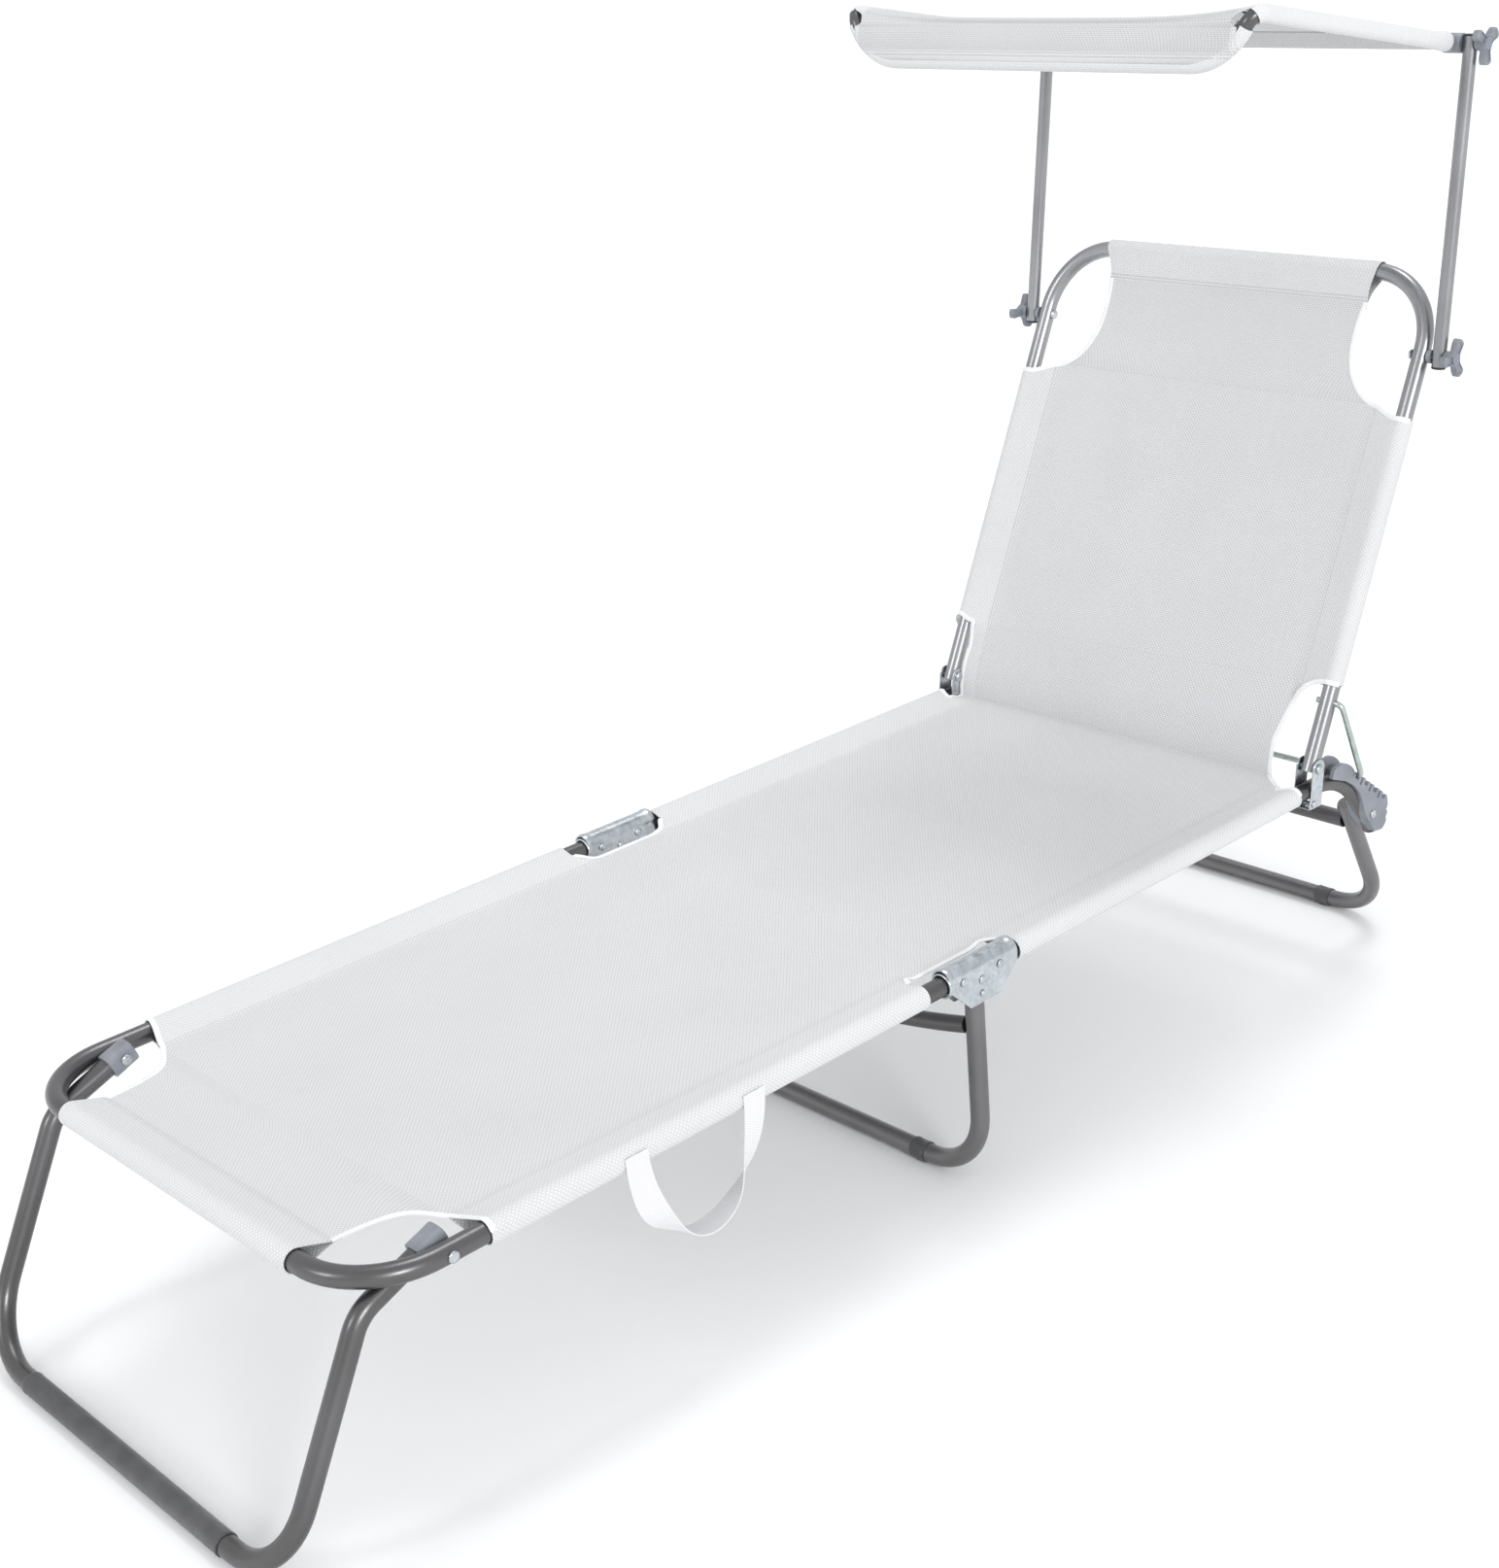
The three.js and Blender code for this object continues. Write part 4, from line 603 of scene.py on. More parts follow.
def add_camera():
    """The photograph's view: a pinhole with its centre off the middle of the picture."""
    azimuth, elevation, roll = (math.radians(a) for a in (AZIMUTH, ELEVATION, ROLL))
    sa, ca = math.sin(azimuth), math.cos(azimuth)
    se, ce = math.sin(elevation), math.cos(elevation)
    ahead = np.array([-sa * ce, ca * ce, -se])
    level = np.array([ca, sa, 0.0])
    upward = np.cross(level, ahead)
    right = math.cos(roll) * level + math.sin(roll) * upward
    up = -math.sin(roll) * level + math.cos(roll) * upward
    data = bpy.data.cameras.new("camera")
    camera = bpy.data.objects.new("camera", data)
    bpy.context.scene.collection.objects.link(camera)
    turn = Matrix([*zip(right, up, -ahead)]).to_4x4()
    turn.translation = (EYE_X, EYE_Y - ORIGIN_Y * MM, EYE_Z)
    camera.matrix_world = turn
    longest = max(PHOTO_WIDTH, PHOTO_HEIGHT)
    data.sensor_width = SENSOR
    data.lens = FOCAL_PIXELS / longest * SENSOR
    data.shift_x = (PHOTO_WIDTH / 2 - CENTRE_X) / longest
    data.shift_y = (CENTRE_Y - PHOTO_HEIGHT / 2) / longest
    data.clip_start, data.clip_end = 0.05, 60
    bpy.context.scene.camera = camera


# Tubes


def add_tubes():
    """Every tube as a circle carried along straight runs and arcs; the middle brace is bowed as
    1 - (x / half) squared."""
    foot = mirrored([(RAIL_X, 714, DECK), (RAIL_X, 0, DECK)])
    add_tube("foot_tube", bent_line(foot, [80, 80]), PAINT, "foot_section", "foot_frame")
    top = (8 * math.cos(FOOT_LEG_SLOPE), 8 * math.sin(FOOT_LEG_SLOPE))
    leg = [(FOOT_LEG_X, *end) for end in (top, (-76, -30), (-FOOT_LEG_REACH, FLOOR_BAR - DECK))]
    line = bent_line(mirrored(leg) + FOOT_PIVOT, [40, LEG_CORNER, LEG_CORNER, 40])
    add_tube("foot_leg_tube", line, PAINT, "foot_leg", "foot_leg")
    leg = mirrored([(RAIL_X, FOOT_LENGTH, DECK + 4), (RAIL_X, FOOT_LENGTH, FLOOR_BAR)])
    add_tube("mid_leg_tube", bent_line(leg, [LEG_CORNER] * 2), PAINT_WITH_SOME_PAINTED_LIGHT, "mid_leg", "mid_leg")
    x = np.linspace(-MID_BRACE_HALF, MID_BRACE_HALF, 41)
    height = DECK - MID_BRACE_DROP - MID_BRACE_BOW * (1 - (x / MID_BRACE_HALF) ** 2)
    bowed = coords(x, FOOT_LENGTH, height)
    add_tube("mid_brace_tube", bowed, PAINT, "mid_leg", "mid_leg_brace", 9)
    way = unit([REAR_LEG_REACH, FLOOR_BAR - REAR_PIVOT[1]])
    leg = [(REAR_LEG_X, *(REAR_PIVOT - 8 * way)), (REAR_LEG_X, REAR_FLOOR_Y, FLOOR_BAR)]
    line = bent_line(mirrored(leg), [LEG_CORNER] * 2)
    add_tube("rear_leg_tube", line, PAINT_WITH_SOME_PAINTED_LIGHT, "rear_leg", "rear_leg")
    brace = cross_line(248.2, *(REAR_PIVOT + 24 * way))
    add_tube("rear_brace_tube", brace, PAINT, "rear_leg", "rear_leg_brace")
    corner = TAIL_START + TAIL_RADIUS * math.tan(TAIL_ANGLE / 2)
    for hand, sign in HANDS:
        x = sign * RAIL_X
        line = bent_line([(x, 756, DECK), (x, corner, DECK), (x, *TAIL_END)], [TAIL_RADIUS])
        add_tube(f"seat_tube_{hand}", line, PAINT, "seat", f"seat_rail_{hand}")
        line = on_arm([(sign * ARM_X, 0, z) for z in (ARM_ENDS[0], 150, ARM_ENDS[1])])
        add_tube(f"arm_tube_{hand}", line, PAINT_WITH_PAINTED_LIGHT, "canopy_arms", f"canopy_arm_{hand}", ARM)
    back = bent_line(mirrored([(RAIL_X, -6, 0), (RAIL_X, BACK_LENGTH, 0)]), [85, 85])
    add_tube("back_tube", on_back(back), PAINT_WITH_PAINTED_LIGHT, "back", "back_frame")
    wire = mirrored([(266, 0, 0), (BAIL_X, 0, 0), (BAIL_X, BAIL_LENGTH, 0)])
    wire = about_x(bent_line(wire, [8] * 4, 10), BAIL_ANGLE, *BAIL_PIN)
    add_tube("bail_wire", wire, WIRE_ZINC, "support_bail", "support_bail", WIRE, 24)
    add_tube("canopy_tube", canopy_line(), PAINT, "canopy", "canopy_frame", ARM)
    bar = cross_line(271.7, *canopy_run(REAR_BAR))
    add_tube("canopy_bar", bar, PAINT, "canopy", "canopy_rear_bar", 6)


# The canopy tube in Y and Z from its joints: its side bend and its front bar; the bend's radius,
# the side tubes' direction, and the rear bar's reach along them
CANOPY_BEND, CANOPY_FRONT = np.array([-375.0, 68.0]), np.array([-382.0, 16.0])
BEND_RADIUS = 16
RUN = unit(CANOPY_BEND)
REAR_BAR = 8


def canopy_run(reach):
    """Y and Z on the canopy's side tubes at a reach from their joints."""
    return ARM_TOP[1:] + RUN * reach


def canopy_corners(reach=10):
    """The canopy tube's corners on the right: its start at a reach from the joint, the side bend
    and the front corner."""
    bend, front = ARM_TOP[1:] + CANOPY_BEND, ARM_TOP[1:] + CANOPY_FRONT
    return np.array([(CANOPY_X, *canopy_run(reach)), (CANOPY_X, *bend), (VISOR_X, *front)])


def canopy_radii():
    """The side bend's radius, and that of the front corner: what the side bend leaves of the
    visor's leg, over the tangent of half the corner's turn."""
    start, bend, corner = canopy_corners()
    run_way, leg = unit(bend - start), unit(corner - bend)
    used = BEND_RADIUS * math.tan(math.acos(float(run_way @ leg)) / 2)
    spare = np.linalg.norm(corner - bend) - used - 2
    return [BEND_RADIUS, spare / math.tan(math.acos(-float(leg[0])) / 2)]


def canopy_line():
    """The canopy tube's centre line, from the right joint round to the left one."""
    radii = canopy_radii()
    return bent_line(mirrored(canopy_corners()), [*radii, *radii[::-1]])


# Mesh cloth


SLEEVE_STEPS = 6
DOUBLED = 1.2


def teardrop(seam):
    """A sleeve's half section from its seam on +X round a tube at the origin and back: straight
    to the tangent point, round the tube at radius SLEEVE, straight back, and a sewn margin."""
    start = math.acos(SLEEVE / seam)
    around = round_points(np.linspace(start, 2 * math.pi - start, 17), SLEEVE)
    shares = (np.arange(SLEEVE_STEPS) / SLEEVE_STEPS)[:, None]
    top = np.array([seam, 0.0]) + (around[0] - (seam, 0.0)) * shares
    back = around[-1] + (np.array([seam, -DOUBLED]) - around[-1]) * shares
    tail = [(seam, -DOUBLED), (seam + 4, -DOUBLED - 0.2), (seam + 8, -DOUBLED)]
    return np.concatenate([top, around, back, tail])


SIDE = teardrop(RAIL_X - SEAM_X)
ACROSS = np.linspace(-1, 1, 49)
SLOPE_COLUMNS = 5
EDGE_AT_SLEEVE, EDGE_RISE = RAIL_X - SIDE[SLOPE_COLUMNS - 1, 0], SIDE[SLOPE_COLUMNS - 1, 1]


def sag(x, along):
    """The cloth hangs by 3 mm in the middle: 1 - (x / seam) squared, times a sine along it."""
    across = 1 - np.minimum(1, np.abs(x) / SEAM_X) ** 2
    return -3.0 * across * np.sin(math.pi * np.clip(along, 0, 1))


def straight(place):
    """A line straight across the cloth: the same place for every x."""
    return lambda x: np.full_like(x, place)


def share_along(start, end):
    """For a place, its share of the way from a start to an end."""
    return lambda place: (place - start) / (end - start)


def sleeve_rows(count, start_of, end_of, along_of):
    """Rows of a panel with a sleeve on each side: X and height come from the flat middle and the
    teardrop, and the place along runs from start_of(x) to end_of(x)."""
    side = SIDE[1:]
    x = np.concatenate([-(RAIL_X - side[::-1, 0]), ACROSS * SEAM_X, RAIL_X - side[:, 0]])
    z = np.concatenate([side[::-1, 1], np.zeros_like(ACROSS), side[:, 1]])
    flat = np.concatenate([np.zeros(len(side)), np.ones_like(ACROSS), np.zeros(len(side))])
    start, end = start_of(x), end_of(x)
    y = start + (end - start) * np.linspace(0, 1, count)[:, None]
    return coords(x, y, z + flat * sag(x, along_of(y)))


def panel_rows(left, right, along_of):
    """Rows of a panel between free edges, from a table for each side with a row's place, seam,
    edge and rise: a middle between the seams, then a few columns out to each edge, which rise as
    the sleeve beside them does, by the share given."""
    (place_l, seam_l, edge_l, rise_l), (place_r, seam_r, edge_r, rise_r) = (
        table.T[..., None] for table in (left, right)
    )
    middle = (seam_r - seam_l) / 2 + ACROSS * (seam_l + seam_r) / 2
    shares = np.arange(1, SLOPE_COLUMNS) / (SLOPE_COLUMNS - 1)
    outer_l, outer_r = seam_l + (edge_l - seam_l) * shares, seam_r + (edge_r - seam_r) * shares
    x = np.concatenate([-outer_l[:, ::-1], middle, outer_r], 1)
    place = (place_l + place_r) / 2 + x / RAIL_X * (place_r - place_l) / 2
    heights = SIDE[1:SLOPE_COLUMNS, 1]
    hang = sag(middle, along_of(place[:, SLOPE_COLUMNS - 1 : 1 - SLOPE_COLUMNS]))
    z = np.concatenate([(heights * rise_l)[:, ::-1], hang, heights * rise_r], 1)
    return coords(x, place, z)


def between(x, left, right):
    """A line across the cloth from its place at the left rail to that at the right rail."""
    return (left + right) / 2 + np.asarray(x) / RAIL_X * (right - left) / 2


def over_sleeve(x):
    """Height over the deck of a sleeve's outside at a distance from the middle, and the outward
    normal there: the slope up from the seam, then the arc round the tube."""
    x = np.abs(x)
    outside, tangent = SLEEVE + 0.4, SIDE[SLEEVE_STEPS]
    slope = tangent[1] / (SIDE[0, 0] - tangent[0])
    off = np.clip((x - RAIL_X) / outside, -1, 1)
    round_part = x > RAIL_X - tangent[0]
    height = np.where(round_part, outside * np.sqrt(1 - off**2), (x - SEAM_X) * slope)
    tilt = np.where(round_part, off, -slope)
    return np.maximum(height, 0), tilt, np.sqrt(1 - tilt**2)


def eased(value, low, high):
    """0 below low, 1 above high, and 3t2 - 2t3 between."""
    t = np.clip((np.asarray(value, float) - low) / (high - low), 0, 1)
    return t * t * (3 - 2 * t)


def curve(points, count=24):
    """A Bezier curve of any degree through its end points, as a table of points."""
    points = np.asarray(points, float)
    degree = len(points) - 1
    t = np.linspace(0, 1, count)[:, None]
    weights = [math.comb(degree, i) * t**i * (1 - t) ** (degree - i) for i in range(degree + 1)]
    return sum(w * p for w, p in zip(weights, points))


def curves(first, second):
    """Two Bezier curves end to end, as a table of points."""
    return np.concatenate([curve(first), curve(second)[1:]])


# The cloth's cuts as (half width, place), and half the width of the foot's cross sleeve
FOOT_SLEEVE_Y, FOOT_HALF = 121.8, 191.2026239
FOOT_CUT = curves(
    [(190, 0), (190.5, 78), (197, 98), (213, 109)],
    [(213, 109), (221, 114), (SEAM_X, FOOT_SLEEVE_Y)],
)
SEAT_END_LEFT, SEAT_END_RIGHT = 1296.0, 1281.0
SEAT_FOLD = curve([(263.3, SEAT_END_RIGHT), (258, 1293), (241, 1305), (223.5, SEAT_LAST)])
LOW_LEFT, LOW_RIGHT, TOP_S = 75.0, 97.0, 427.0
BACK_CUT = curves(
    [(SEAM_X, TOP_S), (213, 434), (191, 460), (189, 498)],
    [(189, 498), (188, 522), (192, BACK_SEAM_S)],
)
FOLD_S = -21.6
LEFT_FOLD = np.array([(266, FOLD_S), (266, 22), (264, 38), (263.3, 56), (263.3, LOW_LEFT)])
RIGHT_FOLD = [(224, FOLD_S), (223.5, 0), (223.5, 22), (227, 37), (231.5, 53), (236, 69.5)]
RIGHT_FOLD = np.array([*RIGHT_FOLD, (243, 82.6), (252, 91.5), (263.3, LOW_RIGHT)])


def deck_bend(first, second, start, end):
    return first, second, placed((0, start, DECK)), placed((0, end, DECK))


FOOT_BEND = deck_bend("foot_section", "mid_leg", 690, 730)
SEAT_BEND = deck_bend("mid_leg", "seat", 740, 780)
FOLD_BEND = deck_bend("seat", "back_pivot", 1230, SEAT_LAST)
BACK_BEND = ("back_pivot", "back", *placed(on_back([(0, FOLD_S, -11.8), (0, 60, 0)])))


def foot_edge(y):
    """Half the cloth's width at a place in the foot cut, read from its curve."""
    return np.interp(y, FOOT_CUT[:, 1], FOOT_CUT[:, 0])


def foot_start(x):
    """Where the foot sleeves begin: eased towards the head over the sleeve's round."""
    return FOOT_SLEEVE_Y + np.where(x > 0, 5.0, 13.0) * eased(np.abs(x), SEAM_X - 4, 284)


def slot_edge(y):
    """The free edge beside the middle brackets: EDGE_AT_SLEEVE at the sleeves, SLOT_X between."""
    step = EDGE_AT_SLEEVE - SLOT_X
    return SLOT_X + step * (1 - eased(y, SLOT_START, 674)) + step * eased(y, 778, SLOT_END)


def slot_rise(y):
    """Share of the sleeve's slope that the edge beside the brackets keeps."""
    return 1 - eased(y, SLOT_START, 690) + eased(y, 764, SLOT_END)


def slot_rows(y, along_of):
    """Rows of the deck's cloth beside the middle brackets."""
    side = coords(y, SEAM_X, slot_edge(y), slot_rise(y))
    return panel_rows(side, side, along_of) + ON_DECK


def flat_rows(half, places, along_of):
    """Rows between two free edges at half a width from the middle, sagging along the panel."""
    x, places = ACROSS * half[:, None], places[:, None]
    return coords(x, places, sag(x, along_of(places)))


def add_deck_cloth():
    """The deck's cloth in three: a sleeve round the cross tube, flat rows between the free
    edges and sleeves on the rails, the same widths where the sheets meet."""
    foot_along = share_along(CROSS_SEAM, FOOT_LENGTH)
    seat_along = share_along(FOOT_LENGTH, SEAT_LAST)
    cross = teardrop(CROSS_SEAM)[::-1]
    around = coords(0, *cross.T) + ON_DECK
    front = around[:, None] + ACROSS[:, None] * X_AXIS * FOOT_HALF
    y = np.linspace(CROSS_SEAM, FOOT_SLEEVE_Y, 22)
    flat = flat_rows(foot_edge(y), y, foot_along) + ON_DECK
    flat[-1, :, 0] = ACROSS * SEAM_X
    shape = Shape().grid(np.concatenate([front[:-1], flat]))
    shape.grid(sleeve_rows(40, foot_start, straight(SLOT_START), foot_along) + ON_DECK)
    shape.grid(slot_rows(np.linspace(SLOT_START, FOOT_LENGTH, 20), foot_along))
    foot = make("foot_cloth", shape, DECK_CLOTH, None, "foot_fabric", FOOT_BEND, CLOTH)

    shape = Shape().grid(slot_rows(np.linspace(FOOT_LENGTH, SLOT_END, 18), seat_along))
    shape.grid(sleeve_rows(16, straight(SLOT_END), straight(SEAT_SPLIT), seat_along) + ON_DECK)
    front = make("seat_cloth_front", shape, DECK_CLOTH, None, "seat_fabric", SEAT_BEND, CLOTH)

    shape = Shape().grid(sleeve_rows(30, straight(SEAT_SPLIT), seat_end, seat_along) + ON_DECK)
    rows = panel_rows(*seat_fold_tables(), seat_along)
    rows[..., 2] += 2.0 * np.linspace(0, 1, len(rows))[:, None]
    shape.grid(rows + ON_DECK)
    rear = make("seat_cloth_rear", shape, DECK_CLOTH, None, "seat_fabric", FOLD_BEND, CLOTH)
    return foot, front, rear


def seat_end(x):
    """Where the seat sleeves end: a line across, eased on over the sleeve's round."""
    return between(x, SEAT_END_LEFT, SEAT_END_RIGHT) + 6.0 * eased(np.abs(x), 264, 286)


def seat_fold_tables():
    """The seat cloth between its sleeves and the fold: on the right a wide cut, on the left a
    narrow one beside the hinge bracket."""
    share = np.linspace(0, 1, 16)
    y = SEAT_END_LEFT + (SEAT_LAST - SEAT_END_LEFT) * share
    left = coords(y, SEAM_X, EDGE_AT_SLEEVE + 2.5 * share, 1 - eased(share, 0, 0.85))
    y = SEAT_END_RIGHT + (SEAT_LAST - SEAT_END_RIGHT) * share
    edge = np.interp(y, SEAT_FOLD[:, 1], SEAT_FOLD[:, 0])
    seam = SEAM_X - 20 * eased(y, SEAT_END_RIGHT, SEAT_LAST)
    right = coords(y, seam, edge, 1 - eased(y, SEAT_END_RIGHT, 1306))
    return left, right


def back_fold_tables():
    """The back cloth from the fold to its sleeves, and its height over the back's plane."""
    fold = curve([(FOLD_S, -11.8), (-1, 0.5), (42, 0)], 18)
    tables = []
    for low, edges, seam_drop in ((LOW_LEFT, LEFT_FOLD, 0), (LOW_RIGHT, RIGHT_FOLD, 20)):
        s = np.concatenate([fold[:, 0], np.linspace(42, low, 18)[1:]])
        edge = np.interp(s, edges[:, 1], edges[:, 0])
        seam = SEAM_X - seam_drop * (1 - eased(s, -22, low))
        tables.append(coords(s, np.minimum(seam, edge - 0.8), edge, eased(s, low - 32, low)))
    return *tables, np.concatenate([fold[:, 1], np.zeros(17)])


def back_ease(x):
    """How far the back's sleeves begin later over their round, less on the right."""
    return np.where(x > 0, 1.5 * eased(x, 264, 276), 6.0 * eased(-x, 266, 284))


def back_end(x):
    """Where the back's sleeves end: eased towards the seat over the sleeve's round."""
    return TOP_S - 14.0 * eased(np.abs(x), SEAM_X - 2, 276)


def add_back_cloth():
    """The backrest's cloth: the fold, sleeves on both sides, the cut corners and the top sleeve."""
    left, right, height = back_fold_tables()
    rows = panel_rows(left, right, np.zeros_like)
    rows[..., 2] += height[:, None]
    shape = Shape().grid(on_back(rows))
    start = lambda x: between(x, LOW_LEFT, LOW_RIGHT) + back_ease(x)
    along_of = share_along(LOW_LEFT, BACK_SEAM_S)
    shape.grid(on_back(sleeve_rows(30, start, back_end, along_of)))
    s = np.linspace(TOP_S, BACK_SEAM_S, 26)
    flat = flat_rows(np.interp(s, BACK_CUT[:, 1], BACK_CUT[:, 0]), s, along_of)
    flat[0, :, 0] = ACROSS * SEAM_X
    flat[-1, :, 2] = 0
    cross = teardrop(CROSS_SEAM)[1:]
    around = coords(0, BACK_LENGTH - cross[:, 0], cross[:, 1])
    half = 192 + 9 * eased(-cross[:, 0], -30, 8)
    top = around[:, None] + ACROSS[:, None] * X_AXIS * half[:, None, None]
    shape.grid(on_back(np.concatenate([flat, top])))
    return make("back_cloth", shape, BACK_CLOTH_PAINTED_SHADE, None, "back_fabric", BACK_BEND, CLOTH)


# A tape's width and thickness, and its end's distance from the middle of the cloth
TAPE_WIDTH, TAPE_THICKNESS, TAPE_END = 6.0, 2.2, 291


def tape(line, normals):
    """A binding tape folded over an edge: a flat oval across the line, wide along the cloth."""
    angles = turns(12)
    normals = unit(np.broadcast_to(normals, line.shape))
    inward = np.cross(normals, tangents_of(line))
    wide = squared(np.cos(angles), 0.6) * TAPE_WIDTH / 2
    high = squared(np.sin(angles), 0.8) * TAPE_THICKNESS / 2
    return line[:, None] + inward[:, None] * wide[:, None] + normals[:, None] * high[:, None]


def edge_line(edge, sleeve, sign):
    """A binding's line along a free edge and then over a sleeve's end, with its normals."""
    height, tilt, upright = over_sleeve(sleeve[:, 0])
    line = np.concatenate([edge, coords(*sleeve.T, height)])
    flat = np.broadcast_to((0.0, 0.0, 1.0), edge.shape)
    normals = np.concatenate([flat, coords(tilt, 0, upright)])
    return line * (sign, 1, 1), normals * (sign, 1, 1)


def fold_edge(table, height):
    """A free edge from its side table, a millimetre in, at a height and its sleeve's rise."""
    return coords(table[:, 2] - 1, table[:, 0], height + EDGE_RISE * table[:, 3])


def add_bindings():
    """The white tape along every free edge; returns the bindings of each cloth."""
    tapes = {"foot": [], "front": [], "rear": [], "back": []}
    turned_back = lambda normals: on_back(normals) - on_back((0, 0, 0))

    def bind(cloth, name, line, normals, body=None, bend=None):
        """Makes the tape along a line, for a cloth."""
        tapes[cloth].append(make(name, solid(tape(line, normals)), BINDING, body, None, bend))

    for side, (hand, sign) in enumerate(HANDS):
        y = np.linspace(CROSS_SEAM - 2, FOOT_SLEEVE_Y, 30)
        cut = coords(foot_edge(y) - 2, y, 0)
        x = np.linspace(SEAM_X, TAPE_END, 18)[1:]
        line, normals = edge_line(cut, coords(x, foot_start(sign * x) + 2), sign)
        bind("foot", f"foot_binding_{hand}", line + ON_DECK, normals, "foot_section")
        for cloth, name, start, end, bend in (
            ("foot", "foot_slot", SLOT_START + 2, FOOT_LENGTH, FOOT_BEND),
            ("front", "seat_slot", FOOT_LENGTH, SLOT_END - 2, SEAT_BEND),
        ):
            y = np.linspace(start, end, 26)
            line = coords(slot_edge(y) - 2, y, DECK + slot_rise(y) * EDGE_RISE)
            name = f"{name}_binding_{hand}"
            bind(cloth, name, line * (sign, 1, 1), (0, 0, 1), bend=bend)
        table = seat_fold_tables()[side][::-1]
        edge = fold_edge(table, 2.0 * np.linspace(1, 0, len(table)))
        x = np.linspace(264.5, TAPE_END, 12)
        line, normals = edge_line(edge, coords(x, seat_end(sign * x) - 1), sign)
        bind("rear", f"seat_fold_binding_{hand}", line + ON_DECK, normals, bend=FOLD_BEND)
        *tables, height = back_fold_tables()
        low = (LOW_LEFT, LOW_RIGHT)[side] + back_ease(sign * x)
        line, normals = edge_line(fold_edge(tables[side], height), coords(x, low + 1), sign)
        name = f"back_fold_binding_{hand}"
        bind("back", name, on_back(line), turned_back(normals), bend=BACK_BEND)
        x = np.linspace(SEAM_X, TAPE_END, 16)[1:]
        cut = coords(*(BACK_CUT[::-1] - (2, 0)).T, 0)
        line, normals = edge_line(cut, coords(x, back_end(x) - 1), sign)
        bind("back", f"back_top_binding_{hand}", on_back(line), turned_back(normals), "back")
    return tapes.values()


# Canopy cloth


def canopy_stations():
    """Centres on the right side tube from the rear bar to the front corner, with the cloth's
    upward normal, the direction away from the canopy's middle, and the length so far."""
    corners = canopy_corners(REAR_BAR)
    line = bent_line([*corners, (0, *corners[-1][1:])], canopy_radii(), run_step=9)
    centres = line[: np.argmax(line[:, 1] < corners[-1][1] + 1e-6) + 1]
    tangents = tangents_of(centres)
    visor = np.array([0, *(CANOPY_FRONT - CANOPY_BEND)])
    forward = tangents * (0, 1, 1)
    along = np.where(np.linalg.norm(forward, axis=1, keepdims=True) > 0.02, forward, visor)
    ups = unit(np.cross(along, X_AXIS))
    ups *= np.sign(ups[:, 2:] + 0.2 * -ups[:, 1:2])
    outs = unit(np.cross(ups, tangents))
    outs *= np.sign(outs[:, :1] + 1e-9)
    steps = np.linalg.norm(np.diff(centres, axis=0), axis=1)
    lengths = np.concatenate([[0], np.cumsum(steps)])
    return centres, ups, outs, lengths


CANOPY_HANG = 14.0
BAR_SLEEVE = 7.6


def canopy_hang(across, lengths, bend, drop):
    """The cloth hangs in the middle of its ridge, by CANOPY_HANG times 1 - |across| to the
    fourth: from the rear bar as a quarter sine, and eased away down the visor."""
    rise = np.sin(math.pi * np.clip(lengths / bend, 0, 1) / 2) ** 1.5
    ridge = np.where(lengths < bend, rise, eased(drop, 10, 50))
    return (CANOPY_HANG * ridge)[:, None] * (1 - np.abs(across) ** 4)


